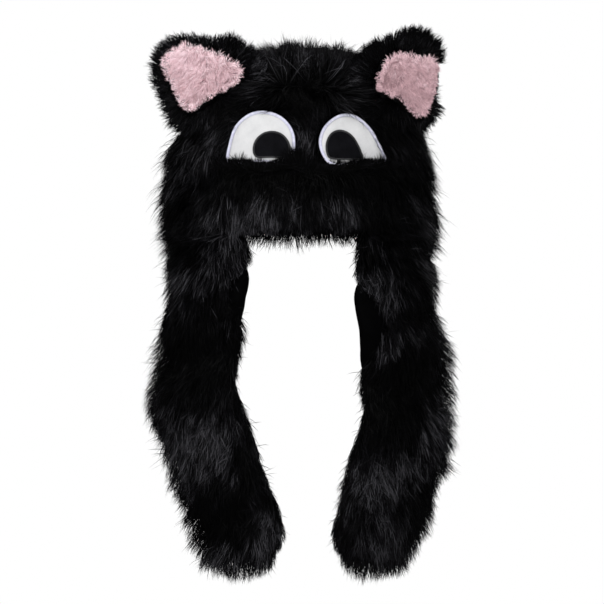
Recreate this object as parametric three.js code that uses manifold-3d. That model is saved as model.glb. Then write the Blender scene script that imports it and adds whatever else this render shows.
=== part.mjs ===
// A black faux-fur cat hat with pink ears, sewn-on eyes and two long hanging flaps, in millimetres, +Z up.
// It is seen from the front along +Y, so the wearer looks along -Y. The origin is the inside of the crown's
// top, where the head carries the hat. Left means -X, the left side as seen from the front.
import * as THREE from "three";
import { mergeVertices } from "three/addons/utils/BufferGeometryUtils.js";
import Module from "manifold-3d";

const wasm = await Module();
wasm.setup();

// Driving dimensions
const LINING_WALL = 2.5;
const FLAP_LINING_WALL = 2;
const SEAM_GAP = 0.3;
const RIM_Z = -165;
const RIM_FRINGE = 12; // how far locks hang below the rim
const SEWN_PILE = 8; // the pile pressed flat under a sewn-on piece
const PILE = { top: 17, side: 26, front: 12, back: 18, rimPinch: 0.8 };
const EYE = { cloth: 2.7, stitchWidth: 2.2, stitchRise: 0.6, pupilCloth: 1.2, sides: 22, pupilSides: 18 };
const EAR = { frontY: -58, rimThick: 10, middleThick: 6, dish: 5 };
const EAR_INNER = { cloth: 4, sunk: 1.2, bowl: 50 };
const CUFF = { reach: 1.42, top: -99, endTop: -146, thick: 13, endThick: 18, fallsFrom: 0.6, taper: 0.1 };
const FLAP_PILE = { rim: 25, middle: 18, edge: 0.4, pastInner: 3, pastOuter: 9, pastEnd: 7 };
const FLAP_WAVES = { depth: 4, length: 88, slant: 22, left: 0, right: 2.2 }; // shallow folds across the flaps
const FLAP_SEAM = { from: 0.486, to: 1.7, settles: 70 }; // where round the rim a flap is sewn on, in radians

// Locks of fur: length and width, how deep they root in the pile, how they arch, and how far tips stand off
const LOCK = { crown: 44, flap: 42, cuff: 30, radius: 15, flat: 0.42, rooted: 6, lift: 5, stands: 8 };
const EAR_LOCK = { radius: 10, reach: 9, curl: 3, count: 12 };
const CROWN_LOCK_ROWS = [-140, -107, -74, -43, -17, -1];
const CROWN_LOCKS_AROUND = 12;
const FLAP_LOCKS = { rows: 7, across: 4, fringe: 22 };
const CUFF_LOCKS = { heights: [0.25, 0.62], across: 8, stands: 4 };

// How finely the smooth surfaces are divided
const DOME_MESH = { around: 32, rings: 8 };
const FLAP_MESH = { across: 6, along: 13 };
const CUFF_MESH = { across: 20, up: 3 };
const EAR_SIDES = 18;

// The crown's sewing surface, on which the lining's outside lies: half width, and reach to the front and back
const CROWN = [
  { z: -165, halfWidth: 111.5, front: 82, back: 84 },
  { z: -130, halfWidth: 111, front: 84, back: 88 },
  { z: -95, halfWidth: 109, front: 86, back: 92 },
  { z: -60, halfWidth: 104, front: 84, back: 92 },
  { z: -35, halfWidth: 96, front: 78, back: 87 },
  { z: -15, halfWidth: 81, front: 66, back: 74 },
  { z: -4, halfWidth: 59, front: 48, back: 54 },
  { z: 1, halfWidth: 34, front: 28, back: 31 },
  { z: 2.5, halfWidth: 0, front: 0, back: 0 },
];

// The cloth of each flap: where its front (inner) and back (outer) edges hang, and how far it bows outwards
const FLAPS = {
  left: [
    { z: -165, inner: 53, outer: 112, innerY: -72, outerY: 12, bow: 20 },
    { z: -210, inner: 55, outer: 122, innerY: -70, outerY: -4, bow: 19 },
    { z: -255, inner: 61, outer: 128, innerY: -66, outerY: -10, bow: 15 },
    { z: -300, inner: 67, outer: 135, innerY: -63, outerY: -12, bow: 13 },
    { z: -345, inner: 62, outer: 145, innerY: -60, outerY: -15, bow: 14 },
    { z: -390, inner: 48, outer: 132, innerY: -58, outerY: -19, bow: 12 },
    { z: -435, inner: 32, outer: 111, innerY: -56, outerY: -24, bow: 13 },
    { z: -475, inner: 20, outer: 100, innerY: -54, outerY: -28, bow: 11 },
    { z: -494, inner: 20, outer: 97, innerY: -53, outerY: -30, bow: 9 },
    { z: -505, inner: 27, outer: 90, innerY: -51, outerY: -33, bow: 7 },
  ],
  right: [
    { z: -165, inner: 53, outer: 112, innerY: -72, outerY: 12, bow: 20 },
    { z: -210, inner: 60, outer: 122, innerY: -70, outerY: -4, bow: 19 },
    { z: -255, inner: 61, outer: 130, innerY: -66, outerY: -10, bow: 15 },
    { z: -300, inner: 66, outer: 140, innerY: -63, outerY: -12, bow: 14 },
    { z: -345, inner: 66, outer: 142, innerY: -60, outerY: -15, bow: 13 },
    { z: -390, inner: 58, outer: 139, innerY: -58, outerY: -19, bow: 14 },
    { z: -435, inner: 47, outer: 131, innerY: -56, outerY: -24, bow: 12 },
    { z: -475, inner: 38, outer: 116, innerY: -54, outerY: -28, bow: 12 },
    { z: -494, inner: 38, outer: 112, innerY: -53, outerY: -30, bow: 9 },
    { z: -505, inner: 44, outer: 105, innerY: -51, outerY: -33, bow: 7 },
  ],
};

// Outlines as seen from the front, in X and Z, each a smooth closed curve through its points
const EYES = {
  left: {
    outline: [
      [-73, -95], [-71, -76], [-63, -57], [-48, -46], [-33, -44],
      [-17, -50], [-7, -63], [-5, -80], [-9, -94], [-40, -95],
    ],
    pupil: { x: -29.5, z: -82.5, wide: 18.3, high: 17, turn: 0, bottom: -92 },
  },
  right: {
    outline: [
      [30, -97], [22, -88], [18.5, -73], [24, -58], [38, -47.5],
      [52, -47.5], [66, -58], [77, -76], [82.5, -94], [56, -97],
    ],
    pupil: { x: 43.5, z: -83, wide: 17, high: 18.5, turn: 0.3, bottom: -94 },
  },
};
const EARS = {
  left: {
    fur: [
      [-44, -14], [-46, 14], [-62, 27], [-76, 34], [-92, 31], [-110, 34], [-130, 34],
      [-146, 24], [-151, 8], [-147, -10], [-137, -32], [-124, -54], [-96, -50],
    ],
    inner: [
      [-72, -18], [-62, -9], [-60, 3], [-76, 15], [-98, 26], [-118, 31], [-134, 27],
      [-145, 16], [-145, 2], [-139, -10], [-131, -26], [-119, -40], [-105, -36], [-86, -22],
    ],
    leanBack: 0.25,
    turnBack: 0.45,
  },
  right: {
    fur: [
      [60, -26], [62, 8], [76, 23], [98, 33], [121, 42], [136, 37],
      [145, 26], [147, 8], [146, -12], [142, -30], [130, -52], [98, -48],
    ],
    inner: [
      [80, -18], [83, 0], [90, 14], [108, 22], [124, 18], [138, 19],
      [146, 8], [145, -12], [141, -28], [131, -44], [121, -45], [103, -28],
    ],
    leanBack: 0.2,
    turnBack: 0.5,
  },
};

const COLOURS = {
  fur: 0x0b0b0d,
  lining: 0x101012,
  pink: 0xdfb6bb,
  white: 0xe9e8e4,
  stitch: 0xd9d6ee,
  pupil: 0x17171a,
};
const { sin, cos, abs, min, max, PI, hypot } = Math;

// Small tools
const mix = (a, b, t) => a + (b - a) * t;
const smooth = (t) => {
  const s = min(1, max(0, t));
  return s * s * (3 - 2 * s);
};
const point = (x, y, z) => new THREE.Vector3(x, y, z);
const spread = (from, to, count) => Array.from({ length: count + 1 }, (_, i) => mix(from, to, i / count));

// A column of a table at height z, on a smooth curve through the rows
function column(rows, name, z) {
  const down = rows[0].z > rows.at(-1).z ? rows : [...rows].reverse();
  let i = 0;
  while (i < down.length - 2 && z < down[i + 1].z) i++;
  const [a, b] = [down[i], down[i + 1]];
  const [before, after] = [down[max(0, i - 1)], down[min(down.length - 1, i + 2)]];
  const t = min(1, max(0, (z - a.z) / (b.z - a.z)));
  const slope = (p, q) => (p.z === q.z ? 0 : ((q[name] - p[name]) / (q.z - p.z)) * (b.z - a.z));
  const [from, to] = [slope(before, b), slope(a, after)];
  const [t2, t3] = [t * t, t * t * t];
  const between = (2 * t3 - 3 * t2 + 1) * a[name] + (3 * t2 - 2 * t3) * b[name];
  return between + (t3 - 2 * t2 + t) * from + (t3 - t2) * to;
}

// A closed smooth curve through outline points, as evenly spaced [x, z] pairs that run the same way round
function loopThrough(points, count) {
  const curve = new THREE.CatmullRomCurve3(points.map(([x, z]) => point(x, 0, z)), true, "centripetal");
  const spaced = curve.getSpacedPoints(count).slice(0, count).map((p) => [p.x, p.z]);
  const area = spaced.reduce((sum, [x, z], i) => {
    const [nextX, nextZ] = spaced[(i + 1) % count];
    return sum + x * nextZ - nextX * z;
  }, 0);
  return area > 0 ? spaced : spaced.reverse();
}

function middleOf(outline) {
  return [0, 1].map((k) => outline.reduce((sum, p) => sum + p[k], 0) / outline.length);
}

// Grows an outline by a distance, or shrinks it by a negative one
function grown(outline, by) {
  return outline.map(([x, z], i) => {
    const [ax, az] = outline.at(i - 1);
    const [bx, bz] = outline[(i + 1) % outline.length];
    const long = hypot(bx - ax, bz - az);
    return [x + ((bz - az) / long) * by, z - ((bx - ax) / long) * by];
  });
}

function meshOf(vertices, faces) {
  const geometry = new THREE.BufferGeometry();
  const positions = vertices.flatMap((v) => [v.x, v.y, v.z]);
  geometry.setAttribute("position", new THREE.Float32BufferAttribute(positions, 3));
  geometry.setIndex(faces.flat());
  return geometry;
}

function solidOf(geometry) {
  const merged = mergeVertices(geometry, 1e-3);
  const vertProperties = merged.attributes.position.array;
  const triVerts = new Uint32Array(merged.index.array);
  return new wasm.Manifold(new wasm.Mesh({ numProp: 3, vertProperties, triVerts }));
}

function geometryOf(solid) {
  const mesh = solid.getMesh();
  const geometry = new THREE.BufferGeometry();
  geometry.setAttribute("position", new THREE.Float32BufferAttribute(mesh.vertProperties, 3));
  geometry.setIndex(new THREE.BufferAttribute(mesh.triVerts, 1));
  geometry.computeVertexNormals();
  return geometry;
}

// The body that is left when stray slivers are cut away
function largestBody(solid) {
  return solid.decompose().sort((a, b) => b.volume() - a.volume())[0];
}

// A dome under a surface of (turn, rise), where turn runs round it and rise from the rim to the top. It is
// hollow where an inside surface is given, and otherwise closed by a flat floor.
function dome(outside, inside) {
  const { around, rings } = DOME_MESH;
  const vertices = [];
  const faces = [];
  const quad = (a, b, c, d) => faces.push([a, b, c], [a, c, d]);
  const layer = (surface) => {
    const first = vertices.length;
    for (let r = 0; r < rings; r++)
      for (let k = 0; k < around; k++) vertices.push(surface((2 * PI * k) / around, r / rings));
    vertices.push(surface(0, 1));
    return first;
  };
  const at = (first, r, k) => first + r * around + (k % around);
  const out = layer(outside);
  const into = inside ? layer(inside) : vertices.push(point(0, 0, vertices[0].z)) - 1;
  for (let k = 0; k < around; k++) {
    faces.push([at(out, rings - 1, k), at(out, rings - 1, k + 1), out + rings * around]);
    for (let r = 0; r < rings - 1; r++)
      quad(at(out, r, k), at(out, r, k + 1), at(out, r + 1, k + 1), at(out, r + 1, k));
    if (inside) {
      faces.push([at(into, rings - 1, k + 1), at(into, rings - 1, k), into + rings * around]);
      for (let r = 0; r < rings - 1; r++)
        quad(at(into, r, k), at(into, r + 1, k), at(into, r + 1, k + 1), at(into, r, k + 1));
      quad(at(out, 0, k), at(into, 0, k), at(into, 0, k + 1), at(out, 0, k + 1));
    } else faces.push([at(out, 0, k + 1), at(out, 0, k), into]);
  }
  return meshOf(vertices, faces);
}

// A slab between two sheets of (across, along), with rows and columns at the given shares of the way
function slab(face, back, acrossShares, alongShares) {
  const vertices = [];
  const faces = [];
  for (const sheet of [face, back])
    for (const along of alongShares) for (const across of acrossShares) vertices.push(sheet(across, along));
  const [acrossCount, alongCount] = [acrossShares.length - 1, alongShares.length - 1];
  const wide = acrossCount + 1;
  const under = wide * (alongCount + 1);
  const at = (i, j) => j * wide + i;
  const quad = (a, b, c, d) => faces.push([a, b, c], [a, c, d]);
  for (let j = 0; j < alongCount; j++)
    for (let i = 0; i < acrossCount; i++) {
      const [a, b, c, d] = [at(i, j), at(i + 1, j), at(i + 1, j + 1), at(i, j + 1)];
      quad(a, b, c, d);
      quad(under + a, under + d, under + c, under + b);
    }
  for (let i = 0; i < acrossCount; i++) {
    const [a, b, c, d] = [at(i, 0), at(i + 1, 0), at(i, alongCount), at(i + 1, alongCount)];
    quad(a, under + a, under + b, b);
    quad(c, d, under + d, under + c);
  }
  for (let j = 0; j < alongCount; j++) {
    const [a, b, c, d] = [at(0, j), at(0, j + 1), at(acrossCount, j), at(acrossCount, j + 1)];
    quad(a, b, under + b, under + a);
    quad(c, under + c, under + d, d);
  }
  return meshOf(vertices, faces);
}

// A pad with an outline as seen from the front. near and far give its front and back at (x, z, share), where
// share runs from 0 in the middle to 1 at the outline, with a ring of points at each of the given shares.
function pad(outline, near, far, shares) {
  const count = outline.length;
  const [midX, midZ] = middleOf(outline);
  const vertices = [];
  const faces = [];
  const layer = (surface) => {
    const first = vertices.length;
    vertices.push(surface(midX, midZ, 0));
    for (const share of shares)
      for (const [x, z] of outline) vertices.push(surface(mix(midX, x, share), mix(midZ, z, share), share));
    return first;
  };
  const [front, back] = [layer(near), layer(far)];
  const at = (ring, k) => 1 + ring * count + (k % count);
  for (let k = 0; k < count; k++) {
    faces.push([front, front + at(0, k), front + at(0, k + 1)], [back, back + at(0, k + 1), back + at(0, k)]);
    for (let ring = 0; ring < shares.length - 1; ring++) {
      const [a, b, c, d] = [at(ring, k), at(ring + 1, k), at(ring + 1, k + 1), at(ring, k + 1)];
      faces.push([front + a, front + b, front + c], [front + a, front + c, front + d]);
      faces.push([back + a, back + c, back + b], [back + a, back + d, back + c]);
    }
    const [a, b] = [at(shares.length - 1, k), at(shares.length - 1, k + 1)];
    faces.push([front + a, back + a, back + b], [front + a, back + b, front + b]);
  }
  return meshOf(vertices, faces);
}

// A flat ring with an outline as seen from the front, between its edge and the same edge shrunk by its width
function ring(outline, width, near, far) {
  const count = outline.length;
  const edges = [...outline, ...grown(outline, -width)];
  const vertices = [near, far].flatMap((surface) => edges.map(([x, z]) => surface(x, z)));
  const faces = [];
  for (let k = 0; k < count; k++) {
    const next = (k + 1) % count;
    const [frontOut, frontIn, backOut, backIn] = [0, count, 2 * count, 3 * count];
    const quad = (a, b, c, d) => faces.push([a, b, c], [a, c, d]);
    quad(frontOut + k, frontOut + next, frontIn + next, frontIn + k);
    quad(backOut + k, backIn + k, backIn + next, backOut + next);
    quad(frontOut + k, backOut + k, backOut + next, frontOut + next);
    quad(frontIn + k, frontIn + next, backIn + next, backIn + k);
  }
  return meshOf(vertices, faces);
}

// A lock of fur: three-sided and flat, from a root under the pile to a pointed tip, arching outwards between
function lock(root, tip, out, lift, radius) {
  const run = tip.clone().sub(root);
  const place = (t) => root.clone().addScaledVector(run, t).addScaledVector(out, 4 * lift * t * (1 - t));
  const side = new THREE.Vector3().crossVectors(out, run).normalize();
  const vertices = [];
  const sections = [
    { t: 0, share: 0.8 },
    { t: 0.4, share: 1 },
  ];
  for (const { t, share } of sections) {
    const ahead = place(t + 0.05).sub(place(t)).normalize();
    const across = new THREE.Vector3().crossVectors(ahead, side).multiplyScalar(LOCK.flat);
    for (let k = 0; k < 3; k++) {
      const turn = (2 * PI * k) / 3 - PI / 6;
      const corner = place(t).addScaledVector(side, radius * share * cos(turn));
      vertices.push(corner.addScaledVector(across, radius * share * sin(turn)));
    }
  }
  vertices.push(tip);
  const faces = [[0, 2, 1]];
  for (let k = 0; k < 3; k++) {
    const next = (k + 1) % 3;
    faces.push([k, next, 3 + next], [k, 3 + next, 3 + k], [3 + k, 3 + next, 6]);
  }
  const solid = solidOf(meshOf(vertices, faces));
  return solid.volume() > 0 ? solid : solidOf(meshOf(vertices, faces.map(([a, b, c]) => [a, c, b])));
}

// A repeatable spread of values from 0 to 1 for the locks
const scatter = (seed) => {
  const value = sin(seed * 127.1 + 11.7) * 43758.5453;
  return value - Math.floor(value);
};

const FAR_OUT = 38; // clear of the deepest pile
const TOP_Z = CROWN.at(-1).z;

// The crown's sewing surface. Turn 0 faces the front and a quarter turn faces +X; offset is outwards.
function crownAt(turn, z, offset) {
  const reach = (t, h) => {
    const depth = column(CROWN, cos(t) > 0 ? "front" : "back", h);
    return point(column(CROWN, "halfWidth", h) * sin(t), -depth * cos(t), h);
  };
  const step = 0.02;
  const here = reach(turn, z);
  if (z > TOP_Z - 0.1) return point(0, 0, z + offset);
  const along = reach(turn + step, z).sub(reach(turn - step, z));
  const up = reach(turn, min(TOP_Z - 0.05, z + 0.5)).sub(reach(turn, z - 0.5));
  return here.addScaledVector(along.cross(up).normalize(), offset);
}

// The height that a share of the way from the rim to the top stands for, with rings closer near the top
const crownZ = (rise) => mix(RIM_Z, TOP_Z, sin((rise * PI) / 2) ** 0.92);

function pileAt(turn, z) {
  const low = smooth(-z / 60);
  const round = mix(cos(turn) > 0 ? PILE.front : PILE.back, PILE.side, sin(turn) ** 4);
  const pinch = mix(PILE.rimPinch, 1, smooth((z - RIM_Z) / 25));
  return mix(PILE.top, round, low) * pinch;
}

// A surface over the sewing surface at an offset, which may change with turn and height
function crownShell(offset) {
  return (turn, rise) => {
    const z = crownZ(rise);
    const placed = crownAt(turn, z, typeof offset === "number" ? offset : offset(turn, z));
    if (rise === 0) placed.z = RIM_Z;
    return placed;
  };
}

// A point over the crown's front at (x, z) as seen from the front
function overFront(x, z, offset) {
  const turn = Math.asin(max(-1, min(1, x / column(CROWN, "halfWidth", z))));
  return crownAt(turn, z, offset);
}

// Sewn-on eyes
const eyePad = (outline, low, high) =>
  pad(outline, (x, z) => overFront(x, z, high), (x, z) => overFront(x, z, low), [0.5, 1]);

function eyeParts({ outline, pupil }) {
  const edge = loopThrough(outline, EYE.sides);
  const low = SEWN_PILE + SEAM_GAP;
  const high = low + EYE.cloth;
  const white = eyePad(grown(edge, -EYE.stitchWidth - SEAM_GAP), low, high);
  const stitches = ring(
    edge,
    EYE.stitchWidth,
    (x, z) => overFront(x, z, high + EYE.stitchRise),
    (x, z) => overFront(x, z, low),
  );
  const round = spread(0, 2 * PI, EYE.pupilSides).slice(1).map((t) => {
    const [u, v] = [pupil.wide * cos(t), pupil.high * sin(t)];
    const [x, z] = [u * cos(pupil.turn) + v * sin(pupil.turn), v * cos(pupil.turn) - u * sin(pupil.turn)];
    return [pupil.x + x, max(pupil.bottom, pupil.z + z)];
  });
  const rest = high + SEAM_GAP;
  const insideStitches = solidOf(eyePad(grown(edge, -EYE.stitchWidth - 2 * SEAM_GAP), high, rest + FAR_OUT));
  const disc = solidOf(eyePad(round, rest, rest + EYE.pupilCloth)).intersect(insideStitches);
  const pocket = solidOf(eyePad(grown(edge, SEAM_GAP), SEWN_PILE, FAR_OUT));
  return { white, stitches, disc, pocket };
}

// Furry cuff under the eyes: share of the way across, and up
const CUFF_ACROSS = spread(0, 1, CUFF_MESH.across);
const CUFF_UP = spread(0, 1, CUFF_MESH.up);

function cuffPlace(across, up) {
  const end = abs(across * 2 - 1);
  const top = mix(CUFF.top, CUFF.endTop, smooth((end - CUFF.fallsFrom) / (1 - CUFF.fallsFrom)));
  return [mix(-CUFF.reach, CUFF.reach, across), mix(RIM_Z, top, up)];
}

function cuffThick(across, up) {
  const end = abs(across * 2 - 1);
  const tapered = mix(0.55, 1, smooth((1 - end) / CUFF.taper));
  const rolled = sin(PI * mix(0.3, 0.97, up)) ** 0.6;
  return mix(CUFF.thick, CUFF.endThick, end ** 3) * tapered * rolled;
}

function cuffSolid() {
  const low = SEWN_PILE + SEAM_GAP;
  const face = (a, u) => crownAt(...cuffPlace(a, u), low + cuffThick(a, u));
  const back = (a, u) => crownAt(...cuffPlace(a, u), low);
  return solidOf(slab(face, back, CUFF_ACROSS, CUFF_UP));
}

// The room for the cuff in the crown's fur, a little wider than the cuff
function cuffPocket() {
  const place = (offset) => (a, u) => crownAt(...cuffPlace(a, u), offset);
  const [across, up] = [[-0.004, ...CUFF_ACROSS, 1.004], [-0.1, ...CUFF_UP, 1.03]];
  return solidOf(slab(place(FAR_OUT), place(SEWN_PILE), across, up));
}

// Flaps. The cloth follows the rim's curve where it is sewn on, and hangs flatter lower down.
function flapPlace(side, across, z, offset) {
  const rows = FLAPS[side];
  const way = side === "left" ? -1 : 1;
  const get = (name) => column(rows, name, z);
  const reach = (u) => {
    const t = min(1, max(0, u));
    const spare = u - t;
    const [x0, x1, y0, y1] = [get("inner"), get("outer"), get("innerY"), get("outerY")];
    const chord = hypot(x1 - x0, y1 - y0);
    const [nx, ny] = [(y1 - y0) / chord, (x0 - x1) / chord];
    const bulge = get("bow") * 4 * t * (1 - t) + FLAP_WAVES.depth * fold(side, t, z);
    const hung = point(mix(x0, x1, u) + nx * bulge, mix(y0, y1, u) + ny * bulge, z);
    const turn = mix(FLAP_SEAM.from, FLAP_SEAM.to, t) + spare;
    const sewn = crownAt(turn, RIM_Z, 0);
    sewn.z = z;
    return sewn.lerp(hung, smooth((RIM_Z - z) / FLAP_SEAM.settles));
  };
  const here = reach(across);
  const step = 0.03;
  const along = reach(across + step).sub(reach(across - step));
  const out = point(along.y, -along.x, 0).normalize();
  return point((here.x + out.x * offset) * way, here.y + out.y * offset, z);
}

function fold(side, across, z) {
  const belowSeam = smooth((RIM_Z - 20 - z) / 50);
  return belowSeam * sin((2 * PI * (z + FLAP_WAVES.slant * across)) / FLAP_WAVES.length + FLAP_WAVES[side]);
}

const FLAP_END = FLAPS.left.at(-1).z;
const flapZ = (along) => mix(RIM_Z - SEAM_GAP, FLAP_END, along);
const LINING_ACROSS = spread(0.03, 0.97, FLAP_MESH.across);
const FLAP_ALONG = spread(0, 1, FLAP_MESH.along);

function flapLining(side) {
  const sheet = (offset) => (a, l) => flapPlace(side, a, flapZ(l), offset);
  return slabFor(side, sheet(0), sheet(-FLAP_LINING_WALL), LINING_ACROSS, FLAP_ALONG);
}

// A slab whose sheets run the other way round on the right flap, so that its faces still point out
function slabFor(side, face, back, across, along) {
  const made = slab(face, back, across, along);
  return side === "right" ? flipped(made) : made;
}

function flipped(geometry) {
  const index = geometry.index.array;
  for (let i = 0; i < index.length; i += 3) [index[i + 1], index[i + 2]] = [index[i + 2], index[i + 1]];
  return geometry;
}

function flapPile(across, along) {
  const round = max(0, sin(PI * mix(0.06, 0.94, min(1, max(0, across))))) ** 0.45;
  const end = mix(0.3, 1, smooth((1.02 - along) / 0.08));
  const depth = mix(FLAP_PILE.rim, FLAP_PILE.middle, smooth(along / 0.22));
  return depth * mix(FLAP_PILE.edge, 1, round) * end;
}

function flapFurBody(side) {
  const width = column(FLAPS[side], "outer", -300) - column(FLAPS[side], "inner", -300);
  const across = [-FLAP_PILE.pastInner / width, ...LINING_ACROSS, 1 + FLAP_PILE.pastOuter / width];
  const along = [...FLAP_ALONG, 1 + FLAP_PILE.pastEnd / (RIM_Z - FLAP_END)];
  const face = (a, l) => flapPlace(side, a, flapZ(l), SEAM_GAP + flapPile(a, l));
  const back = (a, l) => flapPlace(side, a, flapZ(l), SEAM_GAP);
  return solidOf(slabFor(side, face, back, across, along));
}

// The room behind a flap's fur, which its locks are trimmed to
function behindFlap(side) {
  const across = [-0.25, ...LINING_ACROSS, 1.3];
  const along = [-0.1, ...FLAP_ALONG, 1.15];
  const sheet = (offset) => (a, l) => flapPlace(side, a, flapZ(l), offset);
  return solidOf(slabFor(side, sheet(SEAM_GAP), sheet(-30), across, along));
}

// The height that is a distance down the crown from height z
function downFrom(turn, z, distance) {
  const start = crownAt(turn, z, 0);
  let height = z;
  while (crownAt(turn, height, 0).distanceTo(start) < distance) height -= 2;
  return height;
}

function crownLocks(clear) {
  const locks = [];
  CROWN_LOCK_ROWS.forEach((z, row) => {
    const girth = column(CROWN, "halfWidth", z) / column(CROWN, "halfWidth", RIM_Z);
    const count = Math.round(CROWN_LOCKS_AROUND * girth);
    for (let k = 0; k < count; k++) {
      const seed = row * 31 + k;
      const turn = ((k + 0.5 * (row % 2) + 0.35 * (scatter(seed) - 0.5)) * 2 * PI) / count;
      const height = z + 8 * (scatter(seed + 500) - 0.5);
      if (clear(turn, height)) continue;
      const pile = pileAt(turn, height);
      const root = crownAt(turn, height, pile - LOCK.rooted);
      const out = crownAt(turn, height, pile).sub(root).normalize();
      const length = LOCK.crown * mix(0.8, 1.1, scatter(seed + 900));
      const low = max(RIM_Z - RIM_FRINGE, downFrom(turn, height, length));
      const sideways = 0.12 * (scatter(seed + 77) - 0.5);
      const stands = LOCK.stands * mix(0.8, 1.2, scatter(seed + 33)) * mix(0.7, 1, abs(sin(turn)));
      const tip = crownAt(turn + sideways, low, pileAt(turn, low) + stands);
      const lift = LOCK.lift * mix(1, 2, smooth((z + 50) / 50));
      locks.push(lock(root, tip, out, lift, LOCK.radius));
    }
  });
  return locks;
}

function flapLocks(side) {
  const locks = [];
  for (let row = 0; row < FLAP_LOCKS.rows; row++)
    for (let k = 0; k < FLAP_LOCKS.across; k++) {
      const seed = row * 17 + k + (side === "left" ? 0 : 300);
      const along = mix(0.03, 0.93, (row + 0.25 * (k % 2)) / (FLAP_LOCKS.rows - 1));
      const across = mix(0.1, 0.98, (k + 0.4 * (row % 2) + 0.2 * scatter(seed)) / (FLAP_LOCKS.across - 0.4));
      const z = flapZ(along);
      const root = flapPlace(side, across, z, max(2, flapPile(across, along) - LOCK.rooted));
      const out = flapPlace(side, across, z, FAR_OUT).sub(root).normalize();
      const length = LOCK.flap * mix(0.8, 1.1, scatter(seed + 80));
      const low = max(z - length, FLAP_END - FLAP_LOCKS.fringe - 6 * scatter(seed + 8));
      const outward = 0.07 * smooth((across - 0.6) / 0.4) - 0.03 * smooth((0.3 - across) / 0.3);
      const pile = flapPile(min(0.96, across), min(1, (RIM_Z - low) / (RIM_Z - FLAP_END)));
      const stands = LOCK.stands * mix(0.5, 1.1, scatter(seed + 60));
      const tip = flapPlace(side, across + outward, low, pile + stands);
      locks.push(lock(root, tip, out, LOCK.lift, LOCK.radius));
    }
  return locks;
}

function cuffLocks() {
  const locks = [];
  const low = SEWN_PILE + SEAM_GAP;
  for (const [row, up] of CUFF_LOCKS.heights.entries())
    for (let k = 0; k < CUFF_LOCKS.across; k++) {
      const seed = row * 13 + k + 700;
      const across = mix(0.08, 0.92, (k + 0.5 * (row % 2)) / (CUFF_LOCKS.across - 0.5));
      const [turn, z] = cuffPlace(across, up);
      const thick = cuffThick(across, up);
      const root = crownAt(turn, z, low + max(2, thick - LOCK.rooted));
      const out = crownAt(turn, z, low + FAR_OUT).sub(root).normalize();
      const down = max(RIM_Z - RIM_FRINGE + 1, z - LOCK.cuff * mix(0.85, 1.15, scatter(seed)));
      const tip = crownAt(turn + 0.1 * (scatter(seed + 9) - 0.5), down, low + thick + CUFF_LOCKS.stands);
      locks.push(lock(root, tip, out, LOCK.lift, LOCK.radius));
    }
  return locks;
}

// Ears. Each leans back towards its tip and turns back towards its outer edge.
function earY({ leanBack, turnBack }, x, z) {
  return EAR.frontY + leanBack * (z + 20) + turnBack * (abs(x) - 90);
}

function earSolid(ear) {
  const dished = (x, z, share) => earY(ear, x, z) + EAR.dish * (1 - share ** 2);
  const near = (x, z, share) => point(x, dished(x, z, share), z);
  const thick = (share) => EAR.rimThick + EAR.middleThick * (1 - share ** 2);
  const far = (x, z, share) => point(x, dished(x, z, share) + thick(share), z);
  return solidOf(pad(loopThrough(ear.fur, EAR_SIDES), near, far, [0.6, 1]));
}

function earInner(ear) {
  const [midX, midZ] = middleOf(ear.fur);
  const depth = (x, z) => {
    const share = min(1, hypot(x - midX, z - midZ) / EAR_INNER.bowl);
    return earY(ear, x, z) + 0.6 * EAR.dish * (1 - share ** 2) - EAR_INNER.sunk;
  };
  const near = (x, z, share) => point(x, depth(x, z) - EAR_INNER.cloth * mix(1, 0.5, share ** 3), z);
  const far = (x, z) => point(x, depth(x, z), z);
  return solidOf(pad(loopThrough(ear.inner, EAR_SIDES), near, far, [0.5, 1]));
}

function earLocks(ear) {
  const edge = loopThrough(ear.fur, EAR_LOCK.count);
  const [midX, midZ] = middleOf(edge);
  const inEar = (x, z) => point(x, earY(ear, x, z) + 0.65 * EAR.rimThick, z);
  return edge.flatMap(([x, z], k) => {
    const away = new THREE.Vector2(x - midX, z - midZ).normalize();
    if (away.y < -0.35) return [];
    const reach = EAR_LOCK.reach * mix(0.7, 1.2, scatter(abs(x) + k));
    const root = inEar(mix(midX, x, 0.75), mix(midZ, z, 0.75));
    const tipX = x + away.x * reach - away.y * EAR_LOCK.curl;
    const tipZ = z + away.y * reach + away.x * EAR_LOCK.curl;
    return [lock(root, inEar(tipX, tipZ), point(0, 1, 0), 1, EAR_LOCK.radius)];
  });
}

// A box from one corner to the other, to cut fur with
function clearBox([x0, y0, z0], [x1, y1, z1]) {
  const box = new THREE.BoxGeometry(x1 - x0, y1 - y0, z1 - z0);
  box.deleteAttribute("normal");
  box.deleteAttribute("uv");
  return solidOf(box.translate((x0 + x1) / 2, (y0 + y1) / 2, (z0 + z1) / 2));
}

function joined(solids) {
  return solids.reduce((all, solid) => all.add(solid));
}

// A body with its locks, which are first trimmed by the cuts
function fused(body, locks, cuts) {
  const trimmed = cuts.reduce((left, cut) => left.subtract(cut), joined(locks));
  return largestBody(body.add(trimmed));
}

// A solid with the seam gap around it, to cut others with
function withRoom(solid) {
  const shape = geometryOf(solid);
  shape.deleteAttribute("normal");
  const moves = [SEAM_GAP, -SEAM_GAP].flatMap((by) => [[by, 0, 0], [0, by, 0], [0, 0, by]]);
  return joined([solid, ...moves.map((move) => solidOf(shape.clone().translate(...move)))]);
}

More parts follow.
